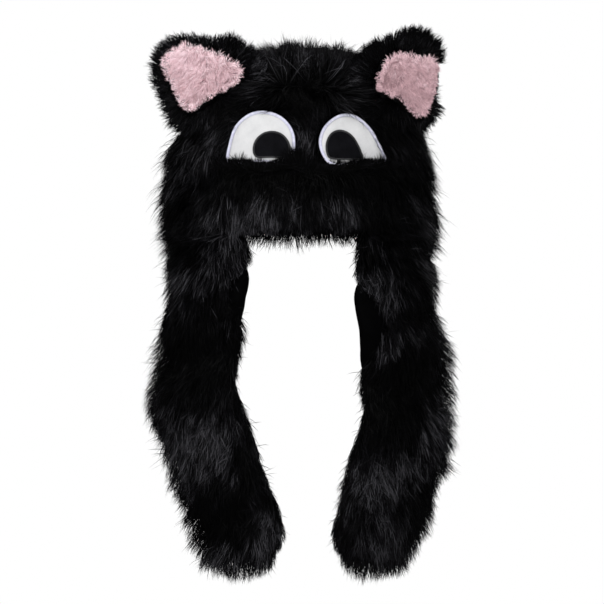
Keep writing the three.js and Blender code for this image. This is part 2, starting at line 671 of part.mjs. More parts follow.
// The spaces that fur keeps out of: where the flaps hang below the rim, and what lies beside and above them
const SLOT = { inner: 46, outer: 220, front: -200, back: 48, deep: 80 };
const slotFor = (x0, x1) => clearBox([x0, SLOT.front, RIM_Z - SLOT.deep], [x1, SLOT.back, RIM_Z + SEAM_GAP]);
const flapSlots = joined([slotFor(-SLOT.outer, -SLOT.inner), slotFor(SLOT.inner, SLOT.outer)]);
const roundSlots = joined([
  clearBox(
    [-SLOT.inner - SEAM_GAP, SLOT.front, RIM_Z - SLOT.deep],
    [SLOT.inner + SEAM_GAP, SLOT.outer, RIM_Z],
  ),
  clearBox([-SLOT.outer, SLOT.back - SEAM_GAP, RIM_Z - SLOT.deep], [SLOT.outer, SLOT.outer, RIM_Z]),
  clearBox([-SLOT.outer, SLOT.front, RIM_Z - SEAM_GAP], [SLOT.outer, SLOT.outer, -RIM_Z]),
]);
const headHollow = solidOf(dome(crownShell(SEAM_GAP)));

// A lock's root may not stand under an eye, the cuff or an ear
function underSewnPiece(turn, z) {
  const x = column(CROWN, "halfWidth", z) * sin(turn);
  const fromFront = min(turn, 2 * PI - turn);
  const underCuff = z < CUFF.top + 12 && fromFront < CUFF.reach + 0.06;
  const underEye = cos(turn) > 0 && z < -38 && x > -82 && x < 92;
  const underEar = z > -62 && abs(x) > 44 && abs(cos(turn)) < 0.62;
  return underCuff || underEye || underEar;
}

const eyes = { left: eyeParts(EYES.left), right: eyeParts(EYES.right) };
const eyePockets = joined([eyes.left.pocket, eyes.right.pocket]);
const crownFilled = solidOf(dome(crownShell((turn, z) => 2 * SEAM_GAP + pileAt(turn, z))));

function earPieces(ear) {
  const seated = (solid) => largestBody(solid.subtract(crownFilled));
  const inner = earInner(ear);
  const whole = joined([earSolid(ear), ...earLocks(ear)]);
  return { fur: seated(whole.subtract(withRoom(inner))), inner: seated(inner) };
}
const ears = { left: earPieces(EARS.left), right: earPieces(EARS.right) };

function crownFurSolid() {
  const body = solidOf(dome(crownShell((turn, z) => SEAM_GAP + pileAt(turn, z)), crownShell(SEAM_GAP)));
  const earRoom = Object.values(ears).map(({ fur, inner }) => withRoom(fur.add(inner)));
  const furry = fused(body, crownLocks(underSewnPiece), [headHollow, flapSlots, ...earRoom]);
  return largestBody(furry.subtract(eyePockets).subtract(cuffPocket()));
}

function flapFurSolid(side) {
  return fused(flapFurBody(side), flapLocks(side), [roundSlots, behindFlap(side)]);
}

// Assembly
const hat = new THREE.Group();
function addPiece(name, shape, color, roughness) {
  const geometry = shape.isBufferGeometry ? shape : geometryOf(shape);
  const mesh = new THREE.Mesh(geometry, new THREE.MeshStandardMaterial({ color, roughness, metalness: 0 }));
  mesh.name = name;
  hat.add(mesh);
}

const crownFur = crownFurSolid();
const cuffCuts = [eyePockets, flapSlots, headHollow, withRoom(crownFur)];
addPiece("crown_lining", dome(crownShell(0), crownShell(-LINING_WALL)), COLOURS.lining, 0.8);
addPiece("crown_fur", crownFur, COLOURS.fur, 0.6);
addPiece("brow_cuff", fused(cuffSolid().subtract(flapSlots), cuffLocks(), cuffCuts), COLOURS.fur, 0.6);
for (const side of ["left", "right"]) {
  addPiece(`eye_white_${side}`, eyes[side].white, COLOURS.white, 0.85);
  addPiece(`eye_rim_${side}`, eyes[side].stitches, COLOURS.stitch, 0.5);
  addPiece(`pupil_${side}`, eyes[side].disc, COLOURS.pupil, 0.7);
  addPiece(`ear_fur_${side}`, ears[side].fur, COLOURS.fur, 0.6);
  addPiece(`ear_inner_${side}`, ears[side].inner, COLOURS.pink, 0.8);
  addPiece(`flap_lining_${side}`, flapLining(side), COLOURS.lining, 0.8);
  addPiece(`flap_fur_${side}`, flapFurSolid(side), COLOURS.fur, 0.6);
}

export default hat;
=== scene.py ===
"""A black faux-fur cat hat with pink ears, sewn-on eyes and two long flaps, dressed around its CAD frame.
Lengths are in millimetres until a mesh is made, and then in metres. Left is -X, as seen from the front."""
import math
import bmesh
import bpy
import numpy as np
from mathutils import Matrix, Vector
from mathutils.kdtree import KDTree


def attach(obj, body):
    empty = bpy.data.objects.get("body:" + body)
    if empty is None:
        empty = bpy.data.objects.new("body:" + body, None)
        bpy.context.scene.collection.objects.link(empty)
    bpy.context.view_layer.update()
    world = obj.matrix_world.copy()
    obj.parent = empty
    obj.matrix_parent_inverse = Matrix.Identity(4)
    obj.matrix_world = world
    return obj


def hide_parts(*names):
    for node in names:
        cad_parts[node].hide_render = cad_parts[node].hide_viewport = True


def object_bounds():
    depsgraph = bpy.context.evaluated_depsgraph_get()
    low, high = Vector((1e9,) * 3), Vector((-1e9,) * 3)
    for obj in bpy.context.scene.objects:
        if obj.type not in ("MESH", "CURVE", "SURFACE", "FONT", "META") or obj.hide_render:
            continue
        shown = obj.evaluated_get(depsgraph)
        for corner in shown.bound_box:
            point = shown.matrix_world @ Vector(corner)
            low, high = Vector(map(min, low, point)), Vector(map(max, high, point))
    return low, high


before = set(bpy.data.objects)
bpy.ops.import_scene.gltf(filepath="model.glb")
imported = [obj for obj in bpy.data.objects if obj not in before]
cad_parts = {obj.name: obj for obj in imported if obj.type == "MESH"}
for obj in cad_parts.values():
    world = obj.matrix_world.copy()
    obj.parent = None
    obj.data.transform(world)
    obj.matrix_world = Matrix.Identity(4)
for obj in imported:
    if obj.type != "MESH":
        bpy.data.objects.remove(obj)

CAD_LOW, CAD_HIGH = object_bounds()
MM = 0.001
rng = np.random.default_rng(11)
pi = np.pi

# Sizes shared with the CAD solids
LINING_WALL = 2.5
FLAP_LINING_WALL = 2.0
RIM_Z, TOP_Z = -165.0, 2.5
SEWN_PILE = 8.0
SEAM_GAP = 0.3
PILE = dict(top=17, side=26, front=12, back=18, rim_pinch=0.8)
EYE = dict(cloth=2.7, stitch_width=2.2, stitch_rise=0.6, pupil_cloth=1.2)
EAR = dict(front_y=-58, rim_thick=10, middle_thick=6, dish=5)
EAR_INNER = dict(sunk=1.2, bowl=50)
CUFF = dict(reach=1.42, top=-99, end_top=-146, thick=13, end_thick=18, falls_from=0.6, taper=0.1)
FLAP_PILE = dict(rim=25, middle=18, edge=0.4)
FLAP_WAVES = dict(depth=4, length=88, slant=22, left=0.0, right=2.2)
FLAP_SEAM = dict(start=0.486, left=0.03, right=0.09, end=1.7, settles=70)

# The crown's sewing surface: height, half width, and reach to the front and back
CROWN = np.array([
    [-165, 111.5, 82, 84], [-130, 111, 84, 88], [-95, 109, 86, 92], [-60, 104, 84, 92], [-35, 96, 78, 87],
    [-15, 81, 66, 74], [-4, 59, 48, 54], [1, 34, 28, 31], [2.5, 0, 0, 0],
], float)

# The cloth of each flap: height, x of its inner and outer edges, y of the same two edges, and its bow
FLAPS = {
    "left": np.array([
        [-165, 53, 112, -72, 12, 20], [-210, 55, 122, -70, -4, 19], [-255, 61, 128, -66, -10, 15],
        [-300, 67, 135, -63, -12, 13], [-345, 62, 145, -60, -15, 14], [-390, 48, 132, -58, -19, 12],
        [-435, 32, 111, -56, -24, 13], [-475, 20, 100, -54, -28, 11], [-494, 20, 97, -53, -30, 9],
        [-505, 27, 90, -51, -33, 7],
    ], float),
    "right": np.array([
        [-165, 53, 112, -72, 12, 20], [-210, 60, 122, -70, -4, 19], [-255, 61, 130, -66, -10, 15],
        [-300, 66, 140, -63, -12, 14], [-345, 66, 142, -60, -15, 13], [-390, 58, 139, -58, -19, 14],
        [-435, 47, 131, -56, -24, 12], [-475, 38, 116, -54, -28, 12], [-494, 38, 112, -53, -30, 9],
        [-505, 44, 105, -51, -33, 7],
    ], float),
}
FLAP_END = -505.0

# Outlines as seen from the front, in x and z
EYES = {
    "left": dict(
        outline=[(-69.5, -95), (-68.5, -76), (-61.5, -57), (-48, -46), (-33, -44),
                 (-17, -50), (-7, -63), (-5, -80), (-9, -94), (-40, -95)],
        pupil=[(-27, -63.6), (-35.4, -65.6), (-42, -71.6), (-44.9, -79), (-44.6, -86), (-42, -89.6),
               (-27, -90), (-12, -89.6), (-9.5, -84), (-9.8, -77), (-13, -70.6), (-19, -65.4)],
    ),
    "right": dict(
        outline=[(30, -97), (22, -88), (18.5, -73), (24, -58), (38, -47.5),
                 (52, -47.5), (66, -58), (77, -76), (82.5, -94), (56, -97)],
        pupil=[(38, -62.3), (46.5, -65), (52, -70.4), (55, -75.6), (57.6, -81), (59.6, -86.5), (60.4, -91),
               (43, -92.2), (28, -90.5), (25.4, -85), (24.8, -78), (26.7, -70.4), (31, -64.8)],
    ),
}
EARS = {
    "left": dict(
        fur=[(-44, -14), (-46, 14), (-62, 27), (-76, 34), (-92, 31), (-110, 34), (-130, 34),
             (-146, 24), (-151, 8), (-147, -10), (-137, -32), (-124, -54), (-96, -50)],
        inner=[(-72, -18), (-62, -9), (-60, 3), (-76, 15), (-98, 26), (-118, 31), (-134, 27),
               (-145, 16), (-145, 2), (-139, -10), (-131, -26), (-119, -40), (-105, -36), (-86, -22)],
        lean_back=0.25, turn_back=0.45,
    ),
    "right": dict(
        fur=[(60, -26), (62, 8), (76, 23), (98, 33), (121, 42), (136, 37),
             (145, 26), (147, 8), (146, -12), (142, -30), (130, -52), (98, -48)],
        inner=[(80, -18), (83, 0), (90, 14), (108, 22), (124, 18), (138, 19),
               (146, 8), (145, -12), (141, -28), (131, -44), (121, -45), (103, -28)],
        lean_back=0.2, turn_back=0.5,
    ),
}


# ---- Small tools
def mix(a, b, t):
    return a + (b - a) * t


def smooth(t):
    s = np.clip(t, 0, 1)
    return s * s * (3 - 2 * s)


def unit(vectors):
    return vectors / np.maximum(np.linalg.norm(vectors, axis=-1, keepdims=True), 1e-9)


def dot(a, b):
    return np.sum(a * b, axis=-1)


def column(rows, k, z):
    """Column k of a table at heights z, on a smooth curve through its rows."""
    down = rows if rows[0, 0] > rows[-1, 0] else rows[::-1]
    z = np.asarray(z, float)
    last = len(down) - 1
    i = np.clip(np.searchsorted(-down[:, 0], -z, side="right") - 1, 0, last - 1)
    a, b = down[i], down[i + 1]
    before, after = down[np.maximum(i - 1, 0)], down[np.minimum(i + 2, last)]
    span = b[..., 0] - a[..., 0]
    t = np.clip((z - a[..., 0]) / span, 0, 1)
    start = (b[..., k] - before[..., k]) / (b[..., 0] - before[..., 0]) * span
    end = (after[..., k] - a[..., k]) / (after[..., 0] - a[..., 0]) * span
    t2, t3 = t * t, t * t * t
    between = (2 * t3 - 3 * t2 + 1) * a[..., k] + (3 * t2 - 2 * t3) * b[..., k]
    return between + (t3 - 2 * t2 + t) * start + (t3 - t2) * end


def wander(points, size, seed, octaves=2):
    """Soft noise from -1 to 1 over points, made of waves about size long."""
    draw = np.random.default_rng(seed)
    total, weight = np.zeros(points.shape[:-1]), 0.0
    for octave in range(octaves):
        for _ in range(5):
            axis = draw.normal(size=3)
            axis *= 2 * pi * 2 ** octave * draw.uniform(0.7, 1.3) / (size * np.linalg.norm(axis))
            total += np.sin(points @ axis + draw.uniform(0, 2 * pi)) / 2 ** octave
            weight += 0.5 / 4 ** octave
    return total / (2 * math.sqrt(weight))


def loop_through(points, count):
    """A closed smooth curve through outline points, as count evenly spaced points, anticlockwise."""
    p = np.array(points, float)
    n = len(p)
    steps = np.sqrt(np.linalg.norm(np.roll(p, -1, axis=0) - p, axis=1))
    curve = []
    for i in range(n):
        p0, p1, p2, p3 = (p[(i + k) % n] for k in (-1, 0, 1, 2))
        d0, d1, d2 = steps[(i - 1) % n], steps[i], steps[(i + 1) % n]
        m1 = ((p1 - p0) / d0 - (p2 - p0) / (d0 + d1) + (p2 - p1) / d1) * d1
        m2 = ((p2 - p1) / d1 - (p3 - p1) / (d1 + d2) + (p3 - p2) / d2) * d1
        for t in np.linspace(0, 1, 24, endpoint=False):
            t2, t3 = t * t, t * t * t
            between = (2 * t3 - 3 * t2 + 1) * p1 + (t3 - 2 * t2 + t) * m1
            curve.append(between + (3 * t2 - 2 * t3) * p2 + (t3 - t2) * m2)
    curve = np.array(curve + [curve[0]])
    far = np.concatenate([[0], np.cumsum(np.linalg.norm(np.diff(curve, axis=0), axis=1))])
    at = np.linspace(0, far[-1], count, endpoint=False)
    spaced = np.stack([np.interp(at, far, curve[:, k]) for k in (0, 1)], axis=1)
    after = np.roll(spaced, -1, axis=0)
    area = np.sum(spaced[:, 0] * after[:, 1] - after[:, 0] * spaced[:, 1])
    return spaced if area > 0 else spaced[::-1]


def grown(outline, by):
    """An anticlockwise outline grown by a distance, or shrunk by a negative one."""
    ahead = unit(np.roll(outline, -1, axis=0) - np.roll(outline, 1, axis=0))
    return outline + np.stack([ahead[:, 1], -ahead[:, 0]], axis=1) * by


def outside(outline, x, z):
    """How far (x, z) lies outside an outline, negative inside, and the direction away from it."""
    a, b = outline, np.roll(outline, -1, axis=0)
    p = np.stack([x, z], axis=-1)
    near, direction, inside = np.full(x.shape, 1e9), np.zeros(p.shape), np.zeros(x.shape, bool)
    for start, end in zip(a, b):
        edge = end - start
        t = np.clip(((p - start) @ edge) / (edge @ edge), 0, 1)
        gap = p - start - t[..., None] * edge
        far = np.linalg.norm(gap, axis=-1)
        closer = far < near
        near = np.where(closer, far, near)
        direction = np.where(closer[..., None], gap, direction)
        if start[1] != end[1]:
            crosses = (start[1] > z) != (end[1] > z)
            inside ^= crosses & (x < start[0] + edge[0] * (z - start[1]) / edge[1])
    sign = np.where(inside, -1.0, 1.0)
    return near * sign, unit(direction) * sign[..., None]


# ---- The hat's surfaces
def crown_reach(turn, z):
    side, front, back = (column(CROWN, k, z) for k in (1, 2, 3))
    depth = np.where(np.cos(turn) > 0, front, back)
    return np.stack([side * np.sin(turn), -depth * np.cos(turn), z + 0 * turn], axis=-1)


def crown_at(turn, z, offset):
    """The crown's sewing surface, moved outwards. Turn 0 faces the front and a quarter turn faces +X."""
    turn, z, offset = np.broadcast_arrays(np.asarray(turn, float), np.asarray(z, float), offset)
    along = crown_reach(turn + 0.02, z) - crown_reach(turn - 0.02, z)
    up = crown_reach(turn, np.minimum(TOP_Z - 0.05, z + 0.5)) - crown_reach(turn, z - 0.5)
    normal = unit(np.cross(along, up))
    top = (z > TOP_Z - 0.1)[..., None]
    normal = np.where(top, [0.0, 0.0, 1.0], normal)
    return crown_reach(turn, z) + normal * offset[..., None]


def crown_z(rise):
    """The height at a share of the way from the rim to the top, and straight on below the rim."""
    above = mix(RIM_Z, TOP_Z, np.sin(np.clip(rise, 0, 1) * pi / 2) ** 0.92)
    return np.where(rise < 0, RIM_Z + 240 * rise, above)


def crown_pile(turn, z):
    low = smooth(-z / 60)
    round_ = mix(np.where(np.cos(turn) > 0, PILE["front"], PILE["back"]), PILE["side"], np.sin(turn) ** 4)
    return mix(PILE["top"], round_, low) * mix(PILE["rim_pinch"], 1, smooth((z - RIM_Z) / 25))


def over_front(x, z, offset):
    turn = np.arcsin(np.clip(x / np.maximum(column(CROWN, 1, z), 1), -1, 1))
    return crown_at(turn, z, offset)


def cuff_top(across):
    end = np.abs(across * 2 - 1)
    return mix(CUFF["top"], CUFF["end_top"], smooth((end - CUFF["falls_from"]) / (1 - CUFF["falls_from"])))


def cuff_thick(across, up):
    end = np.abs(across * 2 - 1)
    tapered = mix(0.55, 1, smooth((1 - end) / CUFF["taper"]))
    rolled = np.maximum(np.sin(pi * mix(0.3, 0.97, np.clip(up, 0, 1))), 0) ** 0.6
    return mix(CUFF["thick"], CUFF["end_thick"], end ** 3) * tapered * rolled


def flap_at(side, across, z, offset):
    """A flap's cloth. It follows the rim where it is sewn on, and hangs flatter lower down."""
    across, z, offset = np.broadcast_arrays(np.asarray(across, float), np.asarray(z, float), offset)
    x0, x1, y0, y1, bow = (column(FLAPS[side], k, z) for k in range(1, 6))
    chord = np.hypot(x1 - x0, y1 - y0)
    nx, ny = (y1 - y0) / chord, (x0 - x1) / chord
    settled = smooth((RIM_Z - z) / FLAP_SEAM["settles"])[..., None]

    def reach(u):
        t = np.clip(u, 0, 1)
        wave = 2 * pi * (z + FLAP_WAVES["slant"] * t) / FLAP_WAVES["length"] + FLAP_WAVES[side]
        fold = smooth((RIM_Z - 20 - z) / 50) * np.sin(wave)
        bulge = bow * 4 * t * (1 - t) + FLAP_WAVES["depth"] * fold
        hung = np.stack([mix(x0, x1, u) + nx * bulge, mix(y0, y1, u) + ny * bulge, z], axis=-1)
        start = FLAP_SEAM["start"] + FLAP_SEAM[side]
        sewn = crown_at(mix(start, FLAP_SEAM["end"], t) + u - t, RIM_Z, 0)
        sewn[..., 2] = z
        return mix(sewn, hung, settled)

    along = reach(across + 0.03) - reach(across - 0.03)
    out = unit(np.stack([along[..., 1], -along[..., 0], 0 * z], axis=-1))
    placed = reach(across) + out * offset[..., None]
    placed[..., 0] *= -1 if side == "left" else 1
    return placed


def flap_z(along):
    return mix(RIM_Z - SEAM_GAP, FLAP_END, along)


def flap_pile(across, along):
    round_ = np.maximum(np.sin(pi * mix(0.06, 0.94, np.clip(across, 0, 1))), 0) ** 0.45
    end = mix(0.3, 1, smooth((1.02 - along) / 0.08))
    high = mix(FLAP_PILE["rim"], FLAP_PILE["middle"], smooth(along / 0.22))
    return high * mix(FLAP_PILE["edge"], 1, round_) * end


def ear_y(ear, x, z):
    return EAR["front_y"] + ear["lean_back"] * (z + 20) + ear["turn_back"] * (np.abs(x) - 90)


# ---- Curved sheets that cloth and fur are made on
class Sheet:
    """A curved surface as a grid of points over evenly spaced u and v, with its directions outwards."""

    def __init__(self, place, u, v, facing=1):
        self.u, self.v = u, v
        grid_u, grid_v = np.meshgrid(u, v, indexing="ij")
        self.points = place(grid_u, grid_v)
        self.along_u = np.gradient(self.points, u, axis=0)
        self.along_v = np.gradient(self.points, v, axis=1)
        normal = np.cross(self.along_u, self.along_v) * facing
        self.area = np.linalg.norm(normal, axis=-1)
        self.normals = unit(normal)

    def read(self, grid, u, v):
        i, j = (u - self.u[0]) / (self.u[1] - self.u[0]), (v - self.v[0]) / (self.v[1] - self.v[0])
        a, b = (np.clip(k.astype(int), 0, n - 2) for k, n in ((i, len(self.u)), (j, len(self.v))))
        s, t = (i - a)[..., None], (j - b)[..., None]
        low = mix(grid[a, b], grid[a + 1, b], s)
        return mix(low, mix(grid[a, b + 1], grid[a + 1, b + 1], s), t)

    def at(self, u, v, height=0.0):
        return self.read(self.points, u, v) + self.read(self.normals, u, v) * np.asarray(height)[..., None]

    def scatter(self, count):
        """About evenly spread (u, v) places."""
        mid_u, mid_v = (self.u[1:] + self.u[:-1]) / 2, (self.v[1:] + self.v[:-1]) / 2
        area = (self.area[1:, 1:] + self.area[:-1, 1:] + self.area[1:, :-1] + self.area[:-1, :-1]) / 4
        sums = np.cumsum(area.ravel())
        picks = (np.arange(count) + rng.random(count)) / count * sums[-1]
        cell = np.searchsorted(sums, picks)
        i, j = np.divmod(np.clip(cell, 0, area.size - 1), len(mid_v))
        du, dv = self.u[1] - self.u[0], self.v[1] - self.v[0]
        return mid_u[i] + du * (rng.random(count) - 0.5), mid_v[j] + dv * (rng.random(count) - 0.5)

    def face_front(self, i, j):
        """Turns the directions outwards round where the one at i, j looks to the back."""
        if self.normals[i, j, 1] > 0:
            self.normals *= -1

    def rates(self, u, v, way):
        """How fast u and v change along a direction, per millimetre."""
        eu, ev = self.read(self.along_u, u, v), self.read(self.along_v, u, v)
        uu, uv, vv = dot(eu, eu), dot(eu, ev), dot(ev, ev)
        wu, wv = dot(way, eu), dot(way, ev)
        det = np.maximum(uu * vv - uv * uv, 1e-6)
        return (wu * vv - wv * uv) / det, (wv * uu - wu * uv) / det


def in_plane(way, normal):
    """A direction laid flat on the surface."""
    return unit(way - dot(way, normal)[..., None] * normal)


def turned(way, normal, angle):
    side = np.cross(normal, way)
    return way * np.cos(angle)[..., None] + side * np.sin(angle)[..., None]


# ---- Meshes
def mesh_object(name, points, faces, material, uv=None):
    """A mesh from numpy points in millimetres and an array or list of faces."""
    mesh = bpy.data.meshes.new(name)
    if isinstance(faces, np.ndarray):
        corners = faces.shape[1]
        mesh.vertices.add(len(points))
        mesh.vertices.foreach_set("co", (points * MM).astype(np.float32).ravel())
        mesh.loops.add(faces.size)
        mesh.loops.foreach_set("vertex_index", faces.astype(np.int32).ravel())
        mesh.polygons.add(len(faces))
        mesh.polygons.foreach_set("loop_start", np.arange(0, faces.size, corners, dtype=np.int32))
        mesh.update(calc_edges=True)
    else:
        mesh.from_pydata((points * MM).tolist(), [], [list(map(int, f)) for f in faces])
        work = bmesh.new()
        work.from_mesh(mesh)
        bmesh.ops.recalc_face_normals(work, faces=work.faces)
        work.to_mesh(mesh)
        work.free()
    if uv is not None:
        layer = mesh.uv_layers.new(name="OFBake")
        order = np.empty(len(mesh.loops), np.int32)
        mesh.loops.foreach_get("vertex_index", order)
        layer.data.foreach_set("uv", uv[order].astype(np.float32).ravel())
    mesh.materials.append(material)
    mesh.polygons.foreach_set("use_smooth", [True] * len(mesh.polygons))
    mesh.validate()
    made = bpy.data.objects.new(name, mesh)
    bpy.context.scene.collection.objects.link(made)
    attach(made, "root")
    return made


def in_outline_order(outline, places):
    """Points at fractional places along a closed outline."""
    i = np.floor(places).astype(int)
    return mix(outline[i % len(outline)], outline[(i + 1) % len(outline)], (places - i)[..., None])


def grid_faces(rows, columns, around=False, flip=False):
    i = np.arange(rows - 1)[:, None]
    j = np.arange(columns if around else columns - 1)[None, :]
    after = (j + 1) % columns
    a, b, c, d = i * columns + j, i * columns + after, (i + 1) * columns + after, (i + 1) * columns + j
    quads = np.stack([a, b, c, d], axis=-1).reshape(-1, 4)
    return quads[:, ::-1] if flip else quads


def closed_tube(name, rings, material):
    """A closed body through rings of points, with a flat face at each end."""
    rows, columns = rings.shape[:2]
    faces = grid_faces(rows, columns, around=True).tolist()
    faces += [list(range(columns))[::-1], [(rows - 1) * columns + k for k in range(columns)]]
    return mesh_object(name, rings.reshape(-1, 3), faces, material)


def only(keep, path, facing, width, tint):
    """The strands that are kept."""
    return path[:, keep], facing[keep], width[keep], tint[keep]


HAIR_REACH = 14.0  # how far hairs reach past the CAD solids at most
HAIR_LOW, HAIR_HIGH = np.array(CAD_LOW) / MM - HAIR_REACH, np.array(CAD_HIGH) / MM + HAIR_REACH


class Pile:
    """Fur strands as thin tapered ribbons in one mesh. Each carries its tint, which holds painted light and
    shade, and its length as UV.
    """

    def __init__(self):
        self.points, self.faces, self.uvs, self.total = [], [], [], 0

    def add(self, path, facing, width, tint, taper):
        """path is (stations, strands, 3); facing is where each ribbon's flat side looks."""
        near = np.all((path > HAIR_LOW) & (path < HAIR_HIGH), axis=(0, 2))
        path, facing, width, tint = only(near, path, facing, width, tint)
        stations, count = path.shape[:2]
        ahead = unit(np.gradient(path, axis=0))
        across = unit(np.cross(ahead, facing[None]))
        half = (np.asarray(taper)[:, None] * width[None] / 2)[..., None]
        left, right = path - across * half, path + across * half
        body = np.stack([left[:-1], right[:-1]], axis=2)
        per = 2 * (stations - 1) + 1
        body = body.transpose(1, 0, 2, 3).reshape(count, -1, 3)
        points = np.concatenate([body, path[-1][:, None]], axis=1)
        length = np.linspace(0, 1, stations)
        uv = np.empty((count, per, 2))
        uv[..., 0] = tint[:, None]
        uv[..., 1] = np.concatenate([np.repeat(length[:-1], 2), [1.0]])[None]
        base = self.total + per * np.arange(count)[:, None]
        faces = []
        for k in range(stations - 2):
            a, b, c, d = 2 * k, 2 * k + 1, 2 * k + 3, 2 * k + 2
            faces += [base + [a, b, c], base + [a, c, d]]
        tip = 2 * (stations - 2)
        faces.append(base + [tip, tip + 1, tip + 2])
        self.points.append(points.reshape(-1, 3))
        self.uvs.append(uv.reshape(-1, 2))
        self.faces.append(np.concatenate(faces))
        self.total += count * per

    def cover(self, coat, long, short, width, clear=None, **lay):
        """Long bent hairs over a shorter, plainer undercoat, without those that clear leaves out."""
        for count, stations, taper in ((long, STRAND_T, TAPER), (short, SHORT_T, SHORT_TAPER)):
            hairs = coat.grow(strands(count), stations, width, black_painted_sheen, **lay)
            self.add(*(clear(*hairs) if clear else hairs), taper)

    def make(self, name, material):
        points, faces, uvs = (np.concatenate(x) for x in (self.points, self.faces, self.uvs))
        print(name, len(faces), "triangles")
        return mesh_object(name, points, faces, material, uvs)


# Painted sheen and painted shade in the black fur's tint, where its lay catches the light or turns from it,
# as seen
# from the front: x and z of the middle, half its width and height, how far it is turned, and its strength
SHEEN = [
    (4, -22, 25, 19, 0, -1.1), (-44, -6, 18, 20, 0, 0.5), (52, -14, 22, 20, 0, 0.4), (0, 10, 50, 9, 0, 0.25),
    (4, -72, 10, 26, 0, 0.8), (-65, -33, 30, 8, 0.1, -0.7),
    (90, -70, 17, 26, 0, -0.6), (-100, -70, 26, 26, 0, 0.25), (105, -95, 13, 22, 0, 0.35),
    (-121, -114, 13, 15, -0.4, 0.4), (-134, -150, 13, 28, 0, -0.7), (18, -112, 105, 18, 0, -1.3),
    (-55, -158, 58, 24, 0, 0.6),
    (48, -148, 17, 26, 0, 0.5), (84, -152, 22, 26, 0, -0.6), (127, -130, 12, 26, 0, 0.5),
    # the left flap
    (-81, -186, 26, 15, 0, 0.4), (-127, -186, 17, 16, 0, -0.7), (-107, -216, 34, 17, 0, 0.8),
    (-103, -290, 44, 50, 0, -0.8), (-82, -265, 9, 13, -0.5, 0.9), (-118, -255, 22, 10, -0.3, 0.6),
    (-105, -388, 50, 44, 0, 0.8), (-55, -418, 13, 22, 0, -1.0), (-86, -462, 32, 28, 0, -1.4),
    (-113, -467, 11, 17, 0, 0.4), (-34, -475, 17, 34, 0, 0.5), (-79, -508, 26, 18, 0, 0.8),
    # the right flap
    (76, -181, 16, 8, 0, 0.4), (80, -195, 24, 8, 0, -0.5), (97, -226, 36, 26, 0, 0.4),
    (132, -205, 9, 22, 0, 0.4), (123, -255, 26, 10, 0.2, -0.8), (99, -284, 36, 9, 0.5, 0.7),
    (110, -340, 30, 44, 0, -1.2),
    (80, -345, 22, 44, 0, -0.8), (135, -372, 22, 46, -0.2, 0.9), (86, -430, 36, 20, 0.15, 0.8),
    (134, -450, 14, 28, -0.2, -0.7), (82, -488, 44, 30, 0, 0.4),
]


def sheen(p):
    """Painted sheen where above 0 and painted shade where below 0, for the fur at a place, from about -1 to
    1.
    """
    front = smooth((20 - p[:, 1]) / 35)
    x, z = p[:, 0] + 9 * wander(p, 24, 92), p[:, 2] + 9 * wander(p, 24, 93)
    total = mix(0.75, 0.2, front) * wander(p, 85, 91) + 0.24 * wander(p, 20, 94)
    for middle_x, middle_z, wide, tall, turn, strength in SHEEN:
        a = (x - middle_x) * math.cos(turn) + (z - middle_z) * math.sin(turn)
        b = (z - middle_z) * math.cos(turn) - (x - middle_x) * math.sin(turn)
        total = total + strength * front * np.exp(-((a / wide) ** 2 + (b / tall) ** 2) ** 1.15)
    return total


# The black fur's tint, brightened for painted sheen and darkened for painted shade
def black_painted_sheen(p):
    return 0.6 * np.exp(1.65 * np.clip(sheen(p), -1.8, 0.64))


HAIR_ARCH = 1.3  # how soon a hair rises to its full height
HAIR_ROLL = 0.6  # how far the hairs' flat sides turn, in radians
STRAND_T = np.array([0.0, 0.38, 0.72, 1.0])
SHORT_T = np.array([0.0, 0.5, 1.0])
TAPER = np.array([0.85, 1.0, 0.8, 0.0])
SHORT_TAPER = np.array([1.0, 0.95, 0.0])


def tree_of(points):
    tree = KDTree(len(points))
    for i, p in enumerate(points):
        tree.insert(p, i)
    tree.balance()
    return tree


def nearest(points, centres):
    tree = tree_of(centres)
    return np.array([tree.find(p)[1] for p in points])


